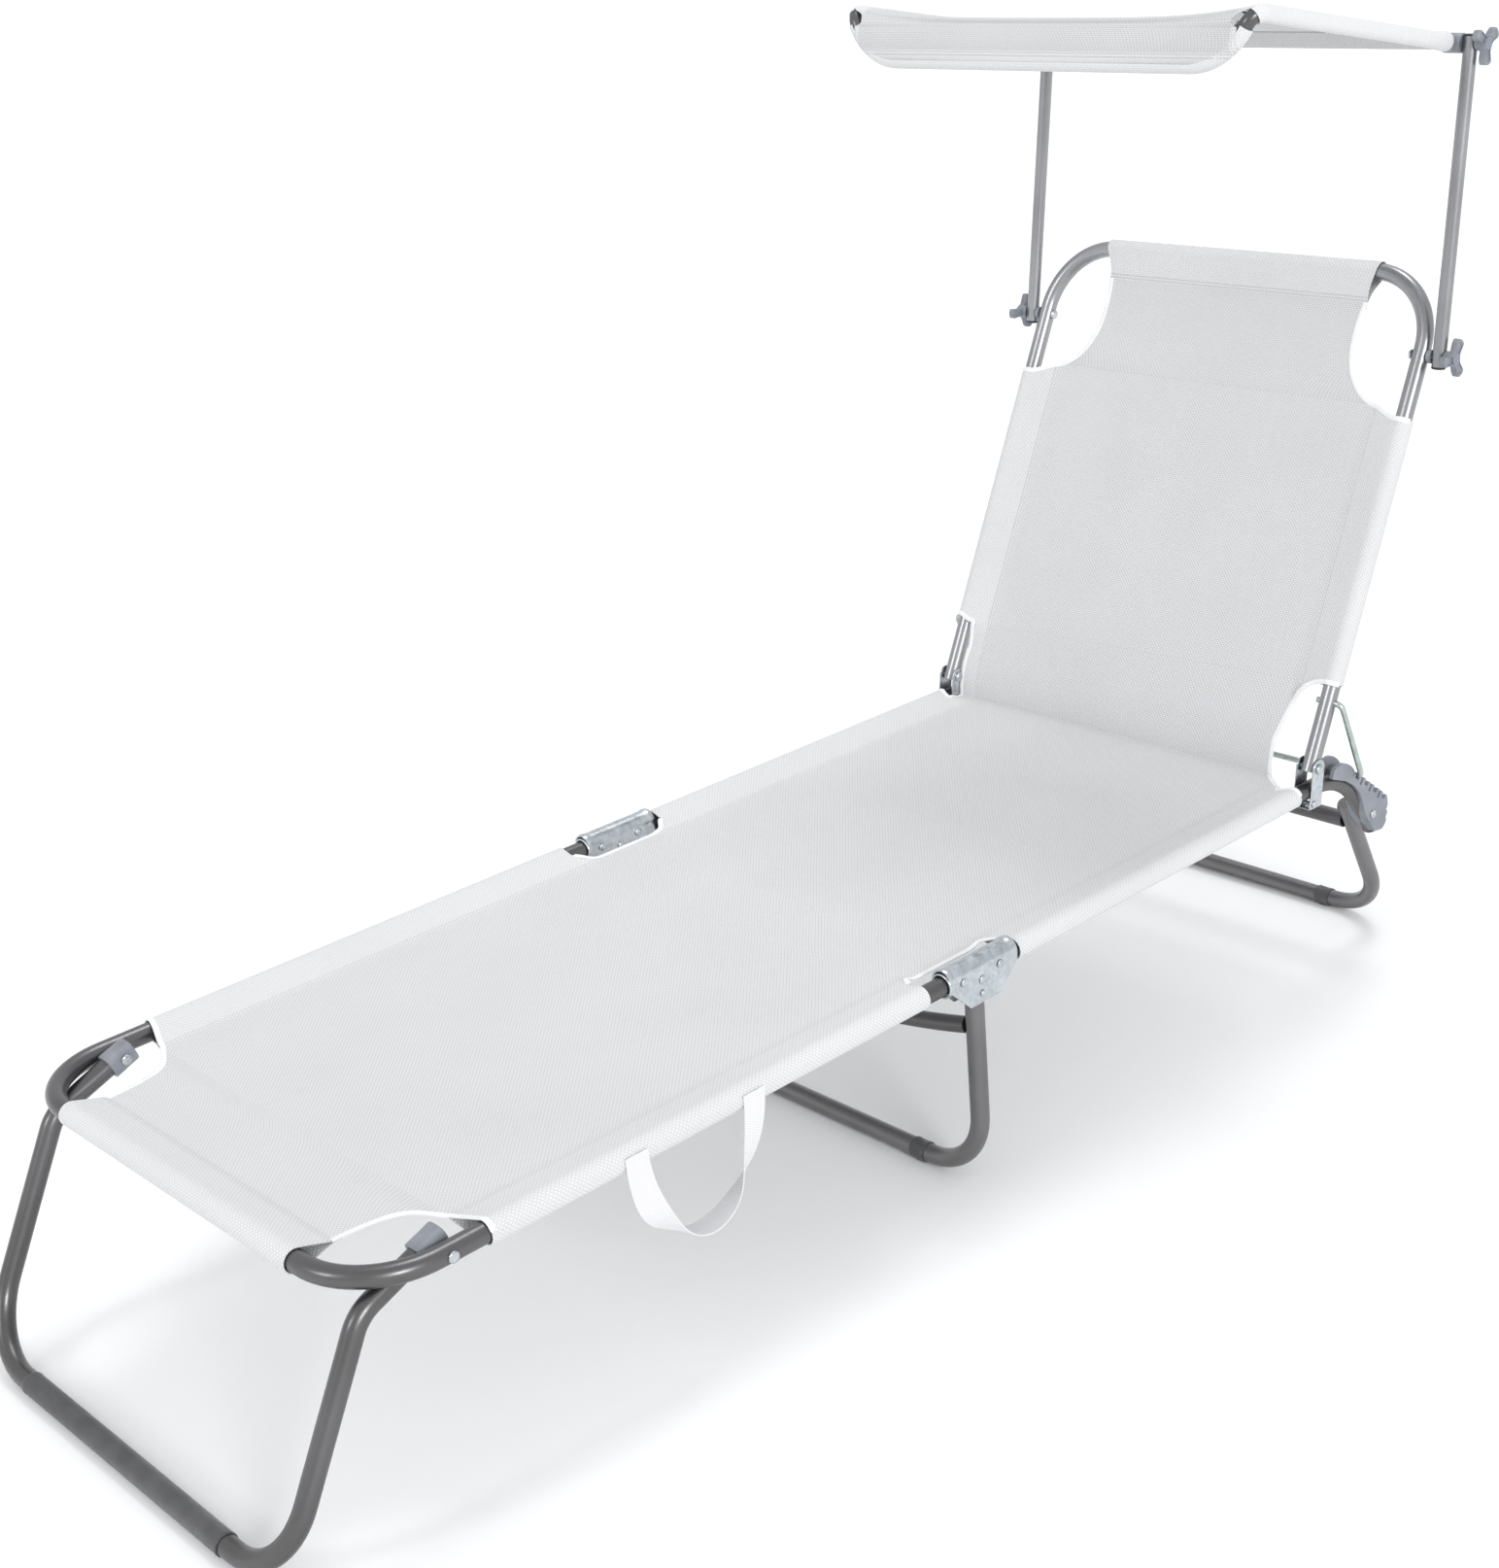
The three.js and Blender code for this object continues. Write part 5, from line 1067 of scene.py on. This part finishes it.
def add_canopy_cloth():
    """One sheet over the frame: a sleeve round the rear bar, one along each side tube as far as
    its bend, which stays bare, and one round the visor's edge."""
    centres, ups, outs, lengths = canopy_stations()
    bend = float(lengths[np.argmin(np.abs(centres[:, 1] - (ARM_TOP[1] + CANOPY_BEND[0])))])
    lift = CANOPY_LIFT + 1.4 * (1 - eased(lengths, 20, 36))
    notch = np.exp(-(((lengths - bend) / 7) ** 4))
    half = centres[:, 0] - 15 * notch - 14 * (1 - eased(lengths, 0, 6))
    x = half[:, None] * ACROSS
    spots = coords(x, centres[:, 1:2], centres[:, 2:])
    hang = canopy_hang(ACROSS, lengths, bend, centres[:, 2] - centres[-1, 2])
    level = (lift - 2.0 * notch)[:, None] - hang
    level[0] = BAR_SLEEVE
    sheet = spots + ups[:, None] * level[..., None]
    angles = np.radians(np.linspace(200, 0, 18)[:-1])[:, None]
    rearward = np.array([0, *-RUN])
    ring = spots[0] + BAR_SLEEVE * (ups[0] * np.cos(angles) + rearward * np.sin(angles))[:, None]
    under = spots[0] - rearward * 26 + ups[0] * 8.0
    flap = under + (ring[0] - under) * np.linspace(0, 1, 5)[:-1, None, None]
    shape = Shape().grid(np.concatenate([flap, ring, sheet]))
    flip = np.array([-1, 1, 1])
    turn = np.radians(np.linspace(0, 195, 20))[:, None, None]

    def sleeve(border, up, out, reach, flap_width):
        """Round the tube by 195 degrees at a reach, then straight back under the sheet."""
        wrap = border + reach * (up * np.cos(turn) + out * np.sin(turn))
        target = border - out * flap_width + up * 1.5
        shares = np.linspace(0, 1, 5)[1:, None, None]
        shape.grid(np.concatenate([wrap, wrap[-1] + (target - wrap[-1]) * shares]))

    side = np.flatnonzero((lengths >= 2) & (lengths < bend - 7))
    for mirror in (np.ones(3), flip):
        sleeve(centres[side] * mirror, ups[side], outs[side] * mirror, lift[side, None], 27)
    visor = np.flatnonzero(lengths > bend + 5)
    front = spots[-1, 1:-1]
    count = len(front)
    border = np.concatenate([centres[visor] * flip, front, centres[visor][::-1]])
    up = np.concatenate([ups[visor], np.repeat(ups[-1:], count, 0), ups[visor][::-1]])
    down = np.cross(ups[-1], X_AXIS)
    down *= -np.sign(down[2])
    out = np.concatenate([outs[visor] * flip, np.repeat([down], count, 0), outs[visor][::-1]])
    sleeve(border, up, out, CANOPY_LIFT, 11)
    return make("canopy_cloth", shape, CANOPY_CLOTH_PAINTED_SHADE, "canopy", "canopy_fabric", wall=CLOTH)


# Carry strap: half its width and thickness, and the middle, half the span and drop of its swing

STRAP_HALF, STRAP_THIN = 13, 0.6
STRAP_Y, STRAP_SPAN, STRAP_DROP = 353, 70, 108


def add_strap():
    """The strap's centre swings from one sewn end to the other as (-cos, -sin) of half a turn,
    and its width turns from along the rail to across it and back, as sin squared."""
    swing = math.pi * np.linspace(0, 1, 61)
    ahead, down = np.cos(swing), np.sin(swing)
    centre = coords(RAIL_X + 13, STRAP_Y - STRAP_SPAN * ahead, DECK + 6 - STRAP_DROP * down)
    tangent = unit(coords(0, STRAP_SPAN * down, -STRAP_DROP * ahead))
    flat = np.cross(X_AXIS, tangent)
    twist = (down**2)[:, None]
    across = unit(flat * (1 - twist) + X_AXIS * twist)
    through = unit(np.cross(tangent, across))
    top = coords(np.linspace(-STRAP_HALF, STRAP_HALF, 13), STRAP_THIN)
    section = np.concatenate([top, top[::-1] * (1, -1)])
    spots = centre[:, None] + across[:, None] * section[:, :1] + through[:, None] * section[:, 1:]
    return make("strap", solid(spots), WEBBING, "foot_section", "carry_strap", bevel=0.3)


# Fittings


def rivet(name, node, body, centre, reach, radius, head, height):
    """A pin along X between two domed heads, each with a short straight rim."""
    low, high = reach
    left = dome(head, height * 0.7, low - height * 0.3, -1)[::-1]
    right = dome(head, height * 0.7, high + height * 0.3, 1)
    pin = [(low, head), (low, radius), (high, radius), (high, head)]
    profile = np.concatenate([left, pin, right])
    make(name, solid(turned(profile, centre)), ZINC, body, node, sharp=50)


def add_rivets():
    """The rivets and bolts along X, each through its own hole: a row gives the piece, its node
    and body, its centre, its reach along X, its radius, and its head's radius and height."""
    fold = (-12.7, 12.7), 3, 4.6, 2.4
    hinge_low, rear_pivot = HINGE - (10, 40.4), (0, *REAR_PIVOT)
    for hand, sign in HANDS:
        x = sign * RAIL_X
        rows = (
            ("foot_leg_pin", "foot_leg_rivet", "foot_leg", FOOT_PIVOT, (244.6, 290.3), 3, 5.5, 2.4),
            ("fold_pin_foot", "fold_rivet_foot", "mid_leg", (x, 708, DECK), *fold),
            ("fold_pin_seat", "fold_rivet_seat", "mid_leg", (x, 762, DECK), *fold),
            ("leg_pin_0", None, "mid_leg", (x, FOOT_LENGTH, 243), (-12.6, 12.6), 2.6, 4.4, 2.2),
            ("leg_pin_1", None, "mid_leg", (x, FOOT_LENGTH, 228), (-12.6, 12.6), 2.6, 3.8, 2.2),
            ("hinge_pin", "hinge_rivet", "seat", (x, *hinge_low), (-12.3, 12.3), 2.4, 4.2, 2),
            ("rear_leg_pin", "rear_leg_rivet", "seat", rear_pivot, (248.2, 294.3), 3, 5.2, 2.4),
            ("back_bolt", "back_pivot_bolt", "back_pivot", (x, *HINGE), (-12.3, 12.3), 4, 6.2, 3.6),
            ("back_spare", None, "back", on_back((x, 160, 0)), (-10.05, 10.05), 1.5, 2.6, 0.8),
        )
        for name, node, body, centre, reach, *sizes in rows:
            ends = sorted(sign * end for end in reach)
            rivet(f"{name}_{hand}", node and f"{node}_{hand}", body, centre, ends, *sizes)


# The middle bracket along the rail, and the height of its arch's centre over the rail's
BRACKET_START, BRACKET_END, ARCH_LIFT = -46.0, 53.0, 4.6


def bracket_section(y):
    """The bracket's section at a place along it: an arch over the rail with straight flanges that
    reach down to the trapezoid's edge, swollen a little at the two mouths."""
    t = np.clip(np.where(y < 0, y - BRACKET_START, BRACKET_END - y) / 28.0, 0, 1)
    depth = -5 - 27 * t
    bead = 0.9 * np.exp(-(((np.abs(y - 3.5) - 46) / 3.2) ** 2))
    radius = (11.5 + bead)[:, None]
    angles = np.linspace(0, math.pi, 17)
    arch = coords(radius * np.cos(angles), ARCH_LIFT + radius * np.sin(angles))
    shares = np.linspace(1, 0, 8)[:-1]
    heights = ARCH_LIFT + (depth[:, None] - ARCH_LIFT) * shares
    return np.concatenate([coords(radius, heights), arch, coords(-radius, heights[:, ::-1])], 1)


def add_brackets():
    """The middle brackets' shells with a rolled ring at each mouth: an oval of 1.5 mm by 2.4 mm
    carried round the rail."""
    parts = ((BRACKET_START, -18, 16), (-18, 25, 12), (25, BRACKET_END, 16))
    first, middle, last = (np.linspace(*part) for part in parts)
    y = np.concatenate([first, middle[1:-1], last])
    section = bracket_section(y)
    around = np.linspace(0, 2 * math.pi, 17)
    roll = coords(2.4 * np.cos(around), 12.1 + 1.5 * np.sin(around))
    for hand, sign in HANDS:
        x = sign * RAIL_X + section[..., 0]
        spots = coords(x, FOOT_LENGTH + y[:, None], DECK + section[..., 1])
        name, node = f"mid_bracket_shell_{hand}", f"mid_bracket_{hand}"
        make(name, Shape().grid(spots), ZINC, "mid_leg", node, wall=1.7)
        for which, at in (("foot", 690.0), ("seat", 785.5)):
            collar = Shape().grid(turned(roll, (sign * RAIL_X, at, DECK), (0, 1, 0)), wrap=True)
            make(f"mouth_collar_{which}_{hand}", collar, ZINC, "mid_leg")
        add_hinge_bracket(hand, sign)


def add_hinge_bracket(hand, sign):
    """Two ears joined by a strap under the rail: each ear is round at the hinge bolt and slants
    forward to its foot."""
    crown = round_points(np.linspace(0, math.pi, 21), 11.4)
    ear = np.concatenate([crown, [(-18.4, -43.6), (-17, -45.4), (-9, -46), (4.4, -46)]])
    strap = np.array([(-17.6, -46), (4.4, -46), (4.4, -44.3), (-17.6, -44.3)])
    x = sign * RAIL_X
    parts = ((ear, -12, -10.3), (ear, 10.3, 12), (strap, -11, 11))
    shape = solid(*(plate(outline + HINGE, x + near, x + far) for outline, near, far in parts))
    node = f"hinge_bracket_{hand}"
    make(f"hinge_ears_{hand}", shape, ZINC, "seat", node, bevel=0.5, merge=False)


# Shares of the tail's length, and heights over its centre line in tube radii
RACK_HEAD = (
    *((0.108, 0.74), (0.112, 1.3), (0.115, 1.88), (0.135, 2.3), (0.166, 2.64), (0.195, 2.86)),
    *((0.223, 2.97), (0.258, 2.95), (0.292, 2.8), (0.325, 2.58), (0.352, 2.27), (0.378, 1.85)),
    (0.392, 1.5),
)
OUTER_HEAD = tuple((share, min(height, 1.3 + 0.72 * (height - 1.3))) for share, height in RACK_HEAD)
LOW_HEAD = ((0.2, 0.6), (0.21, 1.5), (0.25, 1.9), (0.3, 1.9), (0.36, 1.3))
RACK_SKIRT = (
    *((0.97, -0.92), (0.86, -1.0), (0.75, -0.92), (0.68, -0.7), (0.62, -0.4), (0.52, 0.0)),
    *((0.42, 0.3), (0.3, 0.44)),
)
# The rack's end in Y and Z
RACK_END = (
    *((1464, 185), (1460.7, 180), (1463, 175.5), (1459.5, 170), (1461, 165.5), (1456, 160)),
    *((1452, 157.2), (1446, 157.8)),
)
# Heights of the posts' top, the notches' floor and the slots' floor, for cheeks and for the block
CHEEK, BLOCK = (2.6, -4.0, -7.5), (-11.0, -11.4, -11.4)


def rack_outline(head, tooth, floor, slot):
    """Outline of a rack in Y and Z: a round head, four notches with a pair of posts parted by a
    slot between each two, an end with bumps, and a skirt along the rail. The posts' top, the
    notches' floor and the slots' floor are heights over the line through the bail's four places."""
    chord = LAST_NOTCH - FIRST_NOTCH
    spacing = float(np.linalg.norm(chord)) / 3
    along = unit(chord)
    up = np.array([-along[1], along[0]])
    posts = ((4.1, tooth), (9.6, tooth), (9.9, slot), (13.4, slot), (13.7, tooth))
    notch = ((-3.8, floor), (3.8, floor), *posts, (spacing - 4.3, tooth))
    points = [(-4.3, tooth), *((k * spacing + a, b) for k in range(4) for a, b in notch)]
    points[-6:] = [(3 * spacing + 4.6, tooth), (3 * spacing + 9, tooth - 1.5)]
    teeth = FIRST_NOTCH + np.array([a * along + b * up for a, b in points])
    start, skirt = (on_tail(*(np.array(t) * (TAIL_LENGTH, TUBE)).T) for t in (head, RACK_SKIRT))
    return np.concatenate([start, teeth, RACK_END, skirt])


def add_racks():
    """Each rack: two cheeks with posts and a lower block between them."""
    full, outer = rack_outline(RACK_HEAD, *CHEEK), rack_outline(OUTER_HEAD, *CHEEK)
    low = rack_outline(LOW_HEAD, *BLOCK)
    parts = ((full, 269.3, 274.0), (outer, 289.0, 294), (low, 274.0, 289.0))
    for hand, sign in HANDS:
        shape = solid(*(plate(part, *sorted((sign * a, sign * b))) for part, a, b in parts))
        make(f"rack_body_{hand}", shape, GREY, "seat", f"rack_{hand}", bevel=0.7, merge=False)


# Half a lobe of a wing knob, as angles from its middle and radii, the knob's rim as (place, share
# of the radius, dish), and its collar's and wings' thickness
WING = (
    *((0, 23.7), (8, 23.5), (14, 22.6), (17, 20.8), (18.5, 18.0), (20, 15.0), (23, 12.0)),
    *((29, 9.8), (40, 8.8), (60, 8.5)),
)
COLLAR, THICK = 5.0, 9.0
RIM = (
    *((0, 0.86, 0), (0.9, 1, 0), (THICK - 1.2, 1, 1), (THICK - 0.2, 0.96, 1)),
    *((THICK - 0.2, 0.86, 1), (THICK - 1.8, 0.80, 1), (THICK - 2.2, 0.4, 0)),
)


def knob_shape(sign, centre, lobe):
    """A wing knob along X with a lobe towards an angle from +Y: its outline's radius is read from
    a half lobe's table, mirrored and set three times round; a rim stands round a dished face."""
    half, reach = np.array(WING, float).T
    lobe_angles = np.concatenate([-half[:0:-1], half[:-1]])
    radius = np.tile(np.concatenate([reach[:0:-1], reach[:-1]]), 3)
    angles = np.radians(np.concatenate([lobe + 120 * k + lobe_angles for k in range(3)]))
    rings = []
    for x, share, dish in RIM:
        r = radius * share
        deep = COLLAR + x + dish * 0.2 * (r / WING[0][1]) ** 2
        rings.append(coords(sign * deep, r * np.cos(angles), r * np.sin(angles)))
    face = COLLAR + THICK
    hub = [(0, 7.6), (0.4, 8.1), (COLLAR, 8.5), (face - 2, 7.6), (face, 7.0)]
    hub += [(face + 0.8, 5.6), (face + 0.9, 3.6), (face + 0.3, 3.0), (face + 0.3, 0.02)]
    return solid(centre + np.array(rings), turned([(sign * a, r) for a, r in hub], centre))


def add_knobs():
    """The knobs, and the arms' washers, bolts and ends, as turned pieces."""
    foot = (0, *ARM_FOOT[1:])
    head = np.concatenate([dome(6, 2.2, 267.5, -1)[::-1], [(269.7, 6), (269.7, 3), (321.0, 3)]])
    for hand, sign in HANDS:
        for level, place, lobe in (("lower", ARM_FOOT, 180), ("upper", ARM_TOP, -90)):
            shape = knob_shape(sign, (sign * (ARM_X + ARM + 0.3), *place[1:]), lobe)
            node = f"{level}_knob_{hand}"
            make(f"{level}_wing_{hand}", shape, GREY, node, node, sharp=35, merge=False)
        shape = solid(turned([(sign * 290.3, 8), (sign * 296, 8)], foot))
        make(f"arm_washer_{hand}", shape, GREY, "canopy_arms", f"arm_spacer_{hand}", bevel=0.6)
        shape = solid(turned(head * (sign, 1), foot))
        make(f"arm_bolt_{hand}", shape, ZINC, "canopy_arms", f"lower_bolt_{hand}", sharp=50)
        for name, end, way in (("plug", ARM_ENDS[0], -1), ("cap", ARM_ENDS[1], 1)):
            profile = [(0.3, 7.6), (0.5, 8.2), (1.4, 8.2), (2.6, 6.9), (3.0, 4.5), (3.1, 0.02)]
            outward = about_x([0, 0, way], -ARM_LEAN)
            shape = solid(turned(profile, on_arm((sign * ARM_X, 0, end)), outward))
            make(f"arm_end_{name}_{hand}", shape, BLACK, "canopy_arms", f"arm_{name}_{hand}")


def add_canopy_joints():
    """A moulded end: a socket over the canopy tube's end that tapers into a flat eye."""
    way = np.array([0, *RUN])
    eye = [(-8, 9.2), (-9.6, 10.4), (-9.6, 11), (12.6, 11), (13.8, 10.2)]
    socket = [(0, 9.4), (6, 9.5), (24, 9.3), (26, 9.0), (26, 8.3)]
    head = np.concatenate([[(-1.5, 1.2), (0, 3)], dome(3, 1.4, 0.4, 1)])
    for hand, sign in HANDS:
        joint = np.array([sign * CANOPY_X, *ARM_TOP[1:]])
        shape = solid(turned(eye, joint, (sign, 0, 0)), turned(socket, joint, way))
        make(f"canopy_end_{hand}", shape, GREY, "canopy", f"canopy_joint_{hand}", merge=False)
        screw = solid(turned(head, joint + way * 17 + (0, 0, 9.6), (0, 0.18, 1)))
        make(f"canopy_screw_{hand}", screw, ZINC, "canopy")


def add_leg_fittings():
    """The caps of the foot leg, a rounded square carried along the leg's end, the rails' end
    plugs and the floor sleeves."""
    way = np.array([0, math.cos(FOOT_LEG_SLOPE), math.sin(FOOT_LEG_SLOPE)])
    box = squared(round_points(turns(40)), 0.55)
    across = X_AXIS * box[:, :1] + np.cross(way, X_AXIS) * box[:, 1:]
    cap = [(-16, 11.2), (-15.4, 11.7), (-4, 11.7), (-3.2, 11.4), (9.5, 11.5), (12.0, 11.0)]
    cap.append((12.6, 9.8))
    plug = [(0.3, 9.6), (0.5, 10.2), (2.2, 10.2), (4.2, 8.6), (5.0, 5.5), (5.1, 0.02)]
    down = np.array([0, math.cos(TAIL_ANGLE), -math.sin(TAIL_ANGLE)])
    for hand, sign in HANDS:
        centre = FOOT_PIVOT + sign * FOOT_LEG_X * X_AXIS
        shape = solid([centre + way * a + r * across for a, r in cap])
        make(f"foot_leg_end_{hand}", shape, GREY, "foot_leg", f"foot_leg_cap_{hand}")
        shape = solid(turned(plug, (sign * RAIL_X, *TAIL_END), down))
        make(f"rail_end_{hand}", shape, BLACK, "seat", f"rail_plug_{hand}")
        for leg, y, middle in (("mid", FOOT_LENGTH, 194.0), ("rear", REAR_FLOOR_Y, 172.5)):
            shape = floor_sleeve(sign * middle - 10, sign * middle + 10, y, [sign * middle])
            name, node = f"{leg}_floor_sleeve_{hand}", f"{leg}_leg_glider_{hand}"
            make(name, shape, FLOOR_PLASTIC, f"{leg}_leg", node, merge=False)
    shape = floor_sleeve(-172, 172, FOOT_PIVOT[1] - FOOT_LEG_REACH, [-162, 162])
    make("foot_floor_sleeve", shape, FLOOR_PLASTIC, "foot_leg", "foot_leg_sleeve", merge=False)


def floor_sleeve(start, end, y, pads):
    """A moulded sleeve round a floor bar, with a rim at each end and a foot under it that is
    flat on the floor."""
    steps = np.array([0, 0, 0.8, 3.2, 4.0])
    radii = np.array([10.2, 11.0, 11.3, 11.3, 11.0])
    x = np.concatenate([start + steps, end - steps[::-1]])[:, None, None]
    r = np.concatenate([radii, radii[::-1]])[:, None, None]
    ring = np.insert(round_points(turns(40)), 0, 0, axis=1)
    spots = np.array([0, y, FLOOR_BAR]) + x * X_AXIS + r * ring
    spots[..., 2] = np.maximum(spots[..., 2], 0.05)
    corners = np.insert(squared(round_points(turns(32)), 0.5) * (7, 4.5), 2, 0, axis=1)
    levels = ((0.0, 0.94), (0.4, 1), (5, 1.15))
    feet = ([(pad, y, z) + share * corners for z, share in levels] for pad in pads)
    return solid(spots, *feet)


# Stage

FLOOR_HALF = 60


def add_stage():
    """A pale floor, an even pale world and three wide soft lights."""
    floor = Finish("floor")
    shade = floor.spread(floor.noise(1.2, 2), 0.3, 0.7)
    floor.set(Base_Color=floor.blend(shade, (0.93, 0.93, 0.93), (0.95, 0.95, 0.95)), Roughness=0.9)
    mesh = bpy.data.meshes.new("floor")
    corners = [(-FLOOR_HALF, -FLOOR_HALF, 0), (FLOOR_HALF, -FLOOR_HALF, 0)]
    corners += [(FLOOR_HALF, FLOOR_HALF, 0), (-FLOOR_HALF, FLOOR_HALF, 0)]
    mesh.from_pydata(corners, [], [(0, 1, 2, 3)])
    mesh.materials.append(floor.material)
    ground = bpy.data.objects.new("floor", mesh)
    bpy.context.scene.collection.objects.link(ground)
    world = bpy.data.worlds.new("studio")
    bpy.context.scene.world = world
    world.use_nodes = True
    back = world.node_tree.nodes["Background"]
    back.inputs["Color"].default_value = (0.97, 0.985, 1.0, 1)
    back.inputs["Strength"].default_value = 0.87
    soft_light("key", (3.4, -1.2, 1.5), 16, 1.27)
    soft_light("front", (-0.8, -4.0, 2.2), 12, 0.46)
    soft_light("top", (-0.5, 1.2, 3.4), 20, 0.63)
    bpy.context.scene.view_settings.view_transform = "Standard"


def soft_light(name, place, spread, strength):
    """Even light from the direction of a place, as from a distant round soft box."""
    light = bpy.data.lights.new(name, "SUN")
    light.angle = math.radians(spread)
    light.energy = strength
    lamp = bpy.data.objects.new(name, light)
    bpy.context.scene.collection.objects.link(lamp)
    away = unit(place)
    side = unit(np.cross((0, 0, 1), away))
    turn = Matrix([*zip(side, np.cross(away, side), away)]).to_4x4()
    turn.translation = place
    lamp.matrix_world = turn


add_camera()
add_tubes()
foot_cloth, seat_front, seat_rear = add_deck_cloth()
back_cloth = add_back_cloth()
canopy_cloth = add_canopy_cloth()
strap = add_strap()
foot_tapes, front_tapes, rear_tapes, back_tapes = add_bindings()
add_rivets()
add_brackets()
add_racks()
add_knobs()
add_canopy_joints()
add_leg_fittings()
add_stage()
